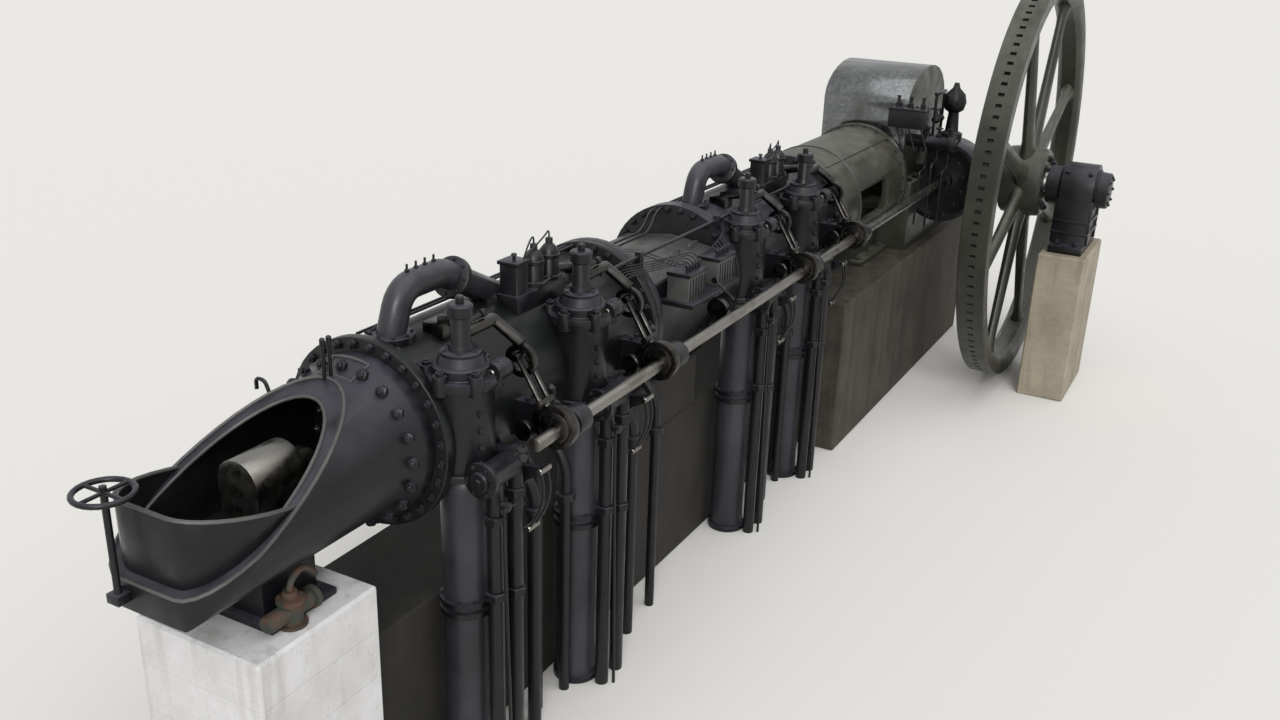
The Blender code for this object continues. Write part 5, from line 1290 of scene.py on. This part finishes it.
# %% End plate of the hood
SHEET = 0.012
end_plate = welded_copy("crank_hood")
end_plate.name = "hood_end_plate"
bpy.ops.object.mode_set(mode="EDIT")
bpy.ops.mesh.select_mode(type="FACE")
bpy.ops.mesh.select_all(action="DESELECT")
shape = bmesh.from_edit_mesh(end_plate.data)
hood_end_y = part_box("crank_hood")[0].y
for face in shape.faces:
    at_near_end = abs(face.calc_center_median().y - hood_end_y) < 0.001
    face.select_set(not (at_near_end and face.normal.y < -0.9))
bmesh.update_edit_mesh(end_plate.data)
bpy.ops.mesh.delete(type="FACE")
bpy.ops.mesh.select_mode(type="VERT")
bpy.ops.object.mode_set(mode="OBJECT")
thicken = end_plate.modifiers.new("sheet", "SOLIDIFY")
thicken.thickness = SHEET
thicken.offset = 1
bpy.ops.object.modifier_apply(modifier=thicken.name)
settle(end_plate, olive_iron)

# %% [markdown]
# On the guide, a raised seam marks where the halves of its mould met, and a hoop stiffens it. It stands
# on a foot plate with six nuts.

# %% Seam, hoop and foot of the main guide
seam_ends = main_guide_start + 0.09, main_guide_end - 0.09
seam = pipe("seam", [spot(x, -0.40, 0.578) for x in seam_ends], 0.012, sides=8)
hoop_outline = chamfered(0, 0.05, 0.712, 0.006, 0.012)
hoop = turned("hoop", X, spot(main_guide_start + 0.62, 0, 0), hoop_outline, 96, ring=True)
sole = Vector((main_guide_end, 0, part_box("main_guide")[0].z))
plate_low, plate_high = sole - Vector((1.12, 0.56, 0)), sole + Vector((-0.03, 0.56, 0.06))
foot_plate = block("foot_plate", plate_low, plate_high, 0.01)
guide_nuts = []
for x in (-1.0, -0.55, -0.15):
    for y in (-0.47, 0.47):
        guide_nuts.append((sole + Vector((x, y, 0.06)), Z, 0.04))
guide_row = [seam, hoop, foot_plate, repeated("guide_nuts", nut, guide_nuts)]
settle(assembled("guide_seams", guide_row), olive_iron)

# %% [markdown]
# ## Tail end
# Small things hang round the mouth of the tail guide: a hook for the crew's bar, and a loop on the far
# side of the bow. The guide's foot is bolted down through a plate.

# %% Hook, loop and foot
HOOK = ((0.46, 0.28), (0.52, 0.42), (0.60, 0.42), (0.60, 0.34))
LOOP = ((0.82, -0.02), (0.82, 0.13), (0.95, 0.15), (0.95, 0.02))
hook = pipe("hook", [spot(nose_x + 1.51, y, z) for y, z in HOOK], 0.014, 0.03, 8)
loop = pipe("loop", [spot(nose_x + x, 0.5, z) for x, z in LOOP], 0.012, 0.04, 8)
settle(assembled("tail_hooks", [hook, loop]))
sole = Vector((nose_x, 0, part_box("tail_guide")[0].z))
foot_nuts = [(sole + Vector((x, y, 0.05)), Z, 0.036) for x in (0.68, 1.02) for y in (-0.30, 0.30)]
plate_low, plate_high = sole + Vector((0.56, -0.37, 0)), sole + Vector((1.14, 0.37, 0.05))
foot_plate = block("tail_foot_plate", plate_low, plate_high, 0.01)
settle(assembled("tail_foot", [foot_plate, repeated("tail_foot_nuts", nut, foot_nuts)]))

# %% [markdown]
# A rusty hand pump stands on the pier beside the foot: an upright body, a barrel across it, and a bent
# spout.

# %% Hand pump on the tail pier
BODY_FOOT = [(0, 0.10), (0.02, 0.10), (0.02, 0.075)]
BODY_HEAD = [(0.16, 0.075), (0.16, 0.09), (0.19, 0.09), (0.20, 0.05), (0.24, 0.045)]
PUMP_BARREL_OUTLINE = [(-0.22, 0.05), (-0.20, 0.06), (0.16, 0.06), (0.16, 0.078), (0.20, 0.078)]
SPOUT = ((0, 0, 0.22), (0, 0, 0.30), (0.14, 0.02, 0.34), (0.28, 0.06, 0.20))
pier_low, pier_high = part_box("tail_pier")
pump = Vector((pier_high.x - 0.62, pier_low.y + 0.16, pier_high.z))
pump_row = [
    turned("pump_body", Z, pump, BODY_FOOT + BODY_HEAD, 24),
    turned("pump_barrel", X, pump + Z * 0.10, PUMP_BARREL_OUTLINE, 24),
    pipe("pump_spout", [pump + Vector(corner) for corner in SPOUT], 0.022, 0.06),
    nut_ring(pump + Z * 0.19, Z, 0.07, 5, 0.012),
]
settle(assembled("hand_pump", pump_row), weathered)
bpy.data.objects.remove(nut)

# %% [markdown]
# ## Floor and light
# A plain pale floor lies at the foot of the foundation. It is a stage, so the part leaves it behind.

# %% Floor
FLOOR_SIZE = 600
floor_finish = new_finish("plain pale floor", {"Base Color": linear("dcdad6"), "Roughness": 0.9})[0]
bpy.ops.object.select_all(action="DESELECT")
bpy.ops.mesh.primitive_plane_add(size=FLOOR_SIZE, location=(wheel.x, 0, 0))
floor = bpy.context.object
floor.name = "pale_floor"
floor.data.materials.append(floor_finish)
print("The floor is", FLOOR_SIZE, "m square")

# %% [markdown]
# The light comes evenly from far away: very soft from above, and less soft from beyond the tail, so that
# dark paint still shows its form. The world is paler where it is seen or mirrored than where it lights
# the paint.

# %% Lamps and world
LAMPS = (((-2, -5, 12), 1.5, 80), ((-16, -9, 9), 1.7, 25))  # from where, how strong, and how soft in degrees
LIGHTING, IN_VIEW = 0.55, 0.85
for lamp_from, energy, softness in LAMPS:
    bpy.ops.object.light_add(type="SUN", location=lamp_from)
    lamp = bpy.context.object
    lamp.rotation_euler = Vector(lamp_from).to_track_quat("Z", "Y").to_euler()
    lamp.data.energy = energy
    lamp.data.angle = math.radians(softness)

world = bpy.data.worlds.new("pale world")
bpy.context.scene.world = world
world.use_nodes = True
tree = world.node_tree
ray = add_node(tree, "LightPath").outputs
mirrored = {0: ray["Is Glossy Ray"], 1: ray["Is Transmission Ray"]}
mirrored = add_node(tree, "Math", mirrored, operation="MAXIMUM")
in_view = add_node(tree, "Math", {0: ray["Is Camera Ray"], 1: mirrored}, operation="MAXIMUM")
strength = add_node(tree, "MapRange", {"Value": in_view, "To Min": LIGHTING, "To Max": IN_VIEW})
plug(tree, tree.nodes["Background"], {"Color": linear("eceded"), "Strength": strength})
print(len(LAMPS), "lamps, and a world of strength", LIGHTING)
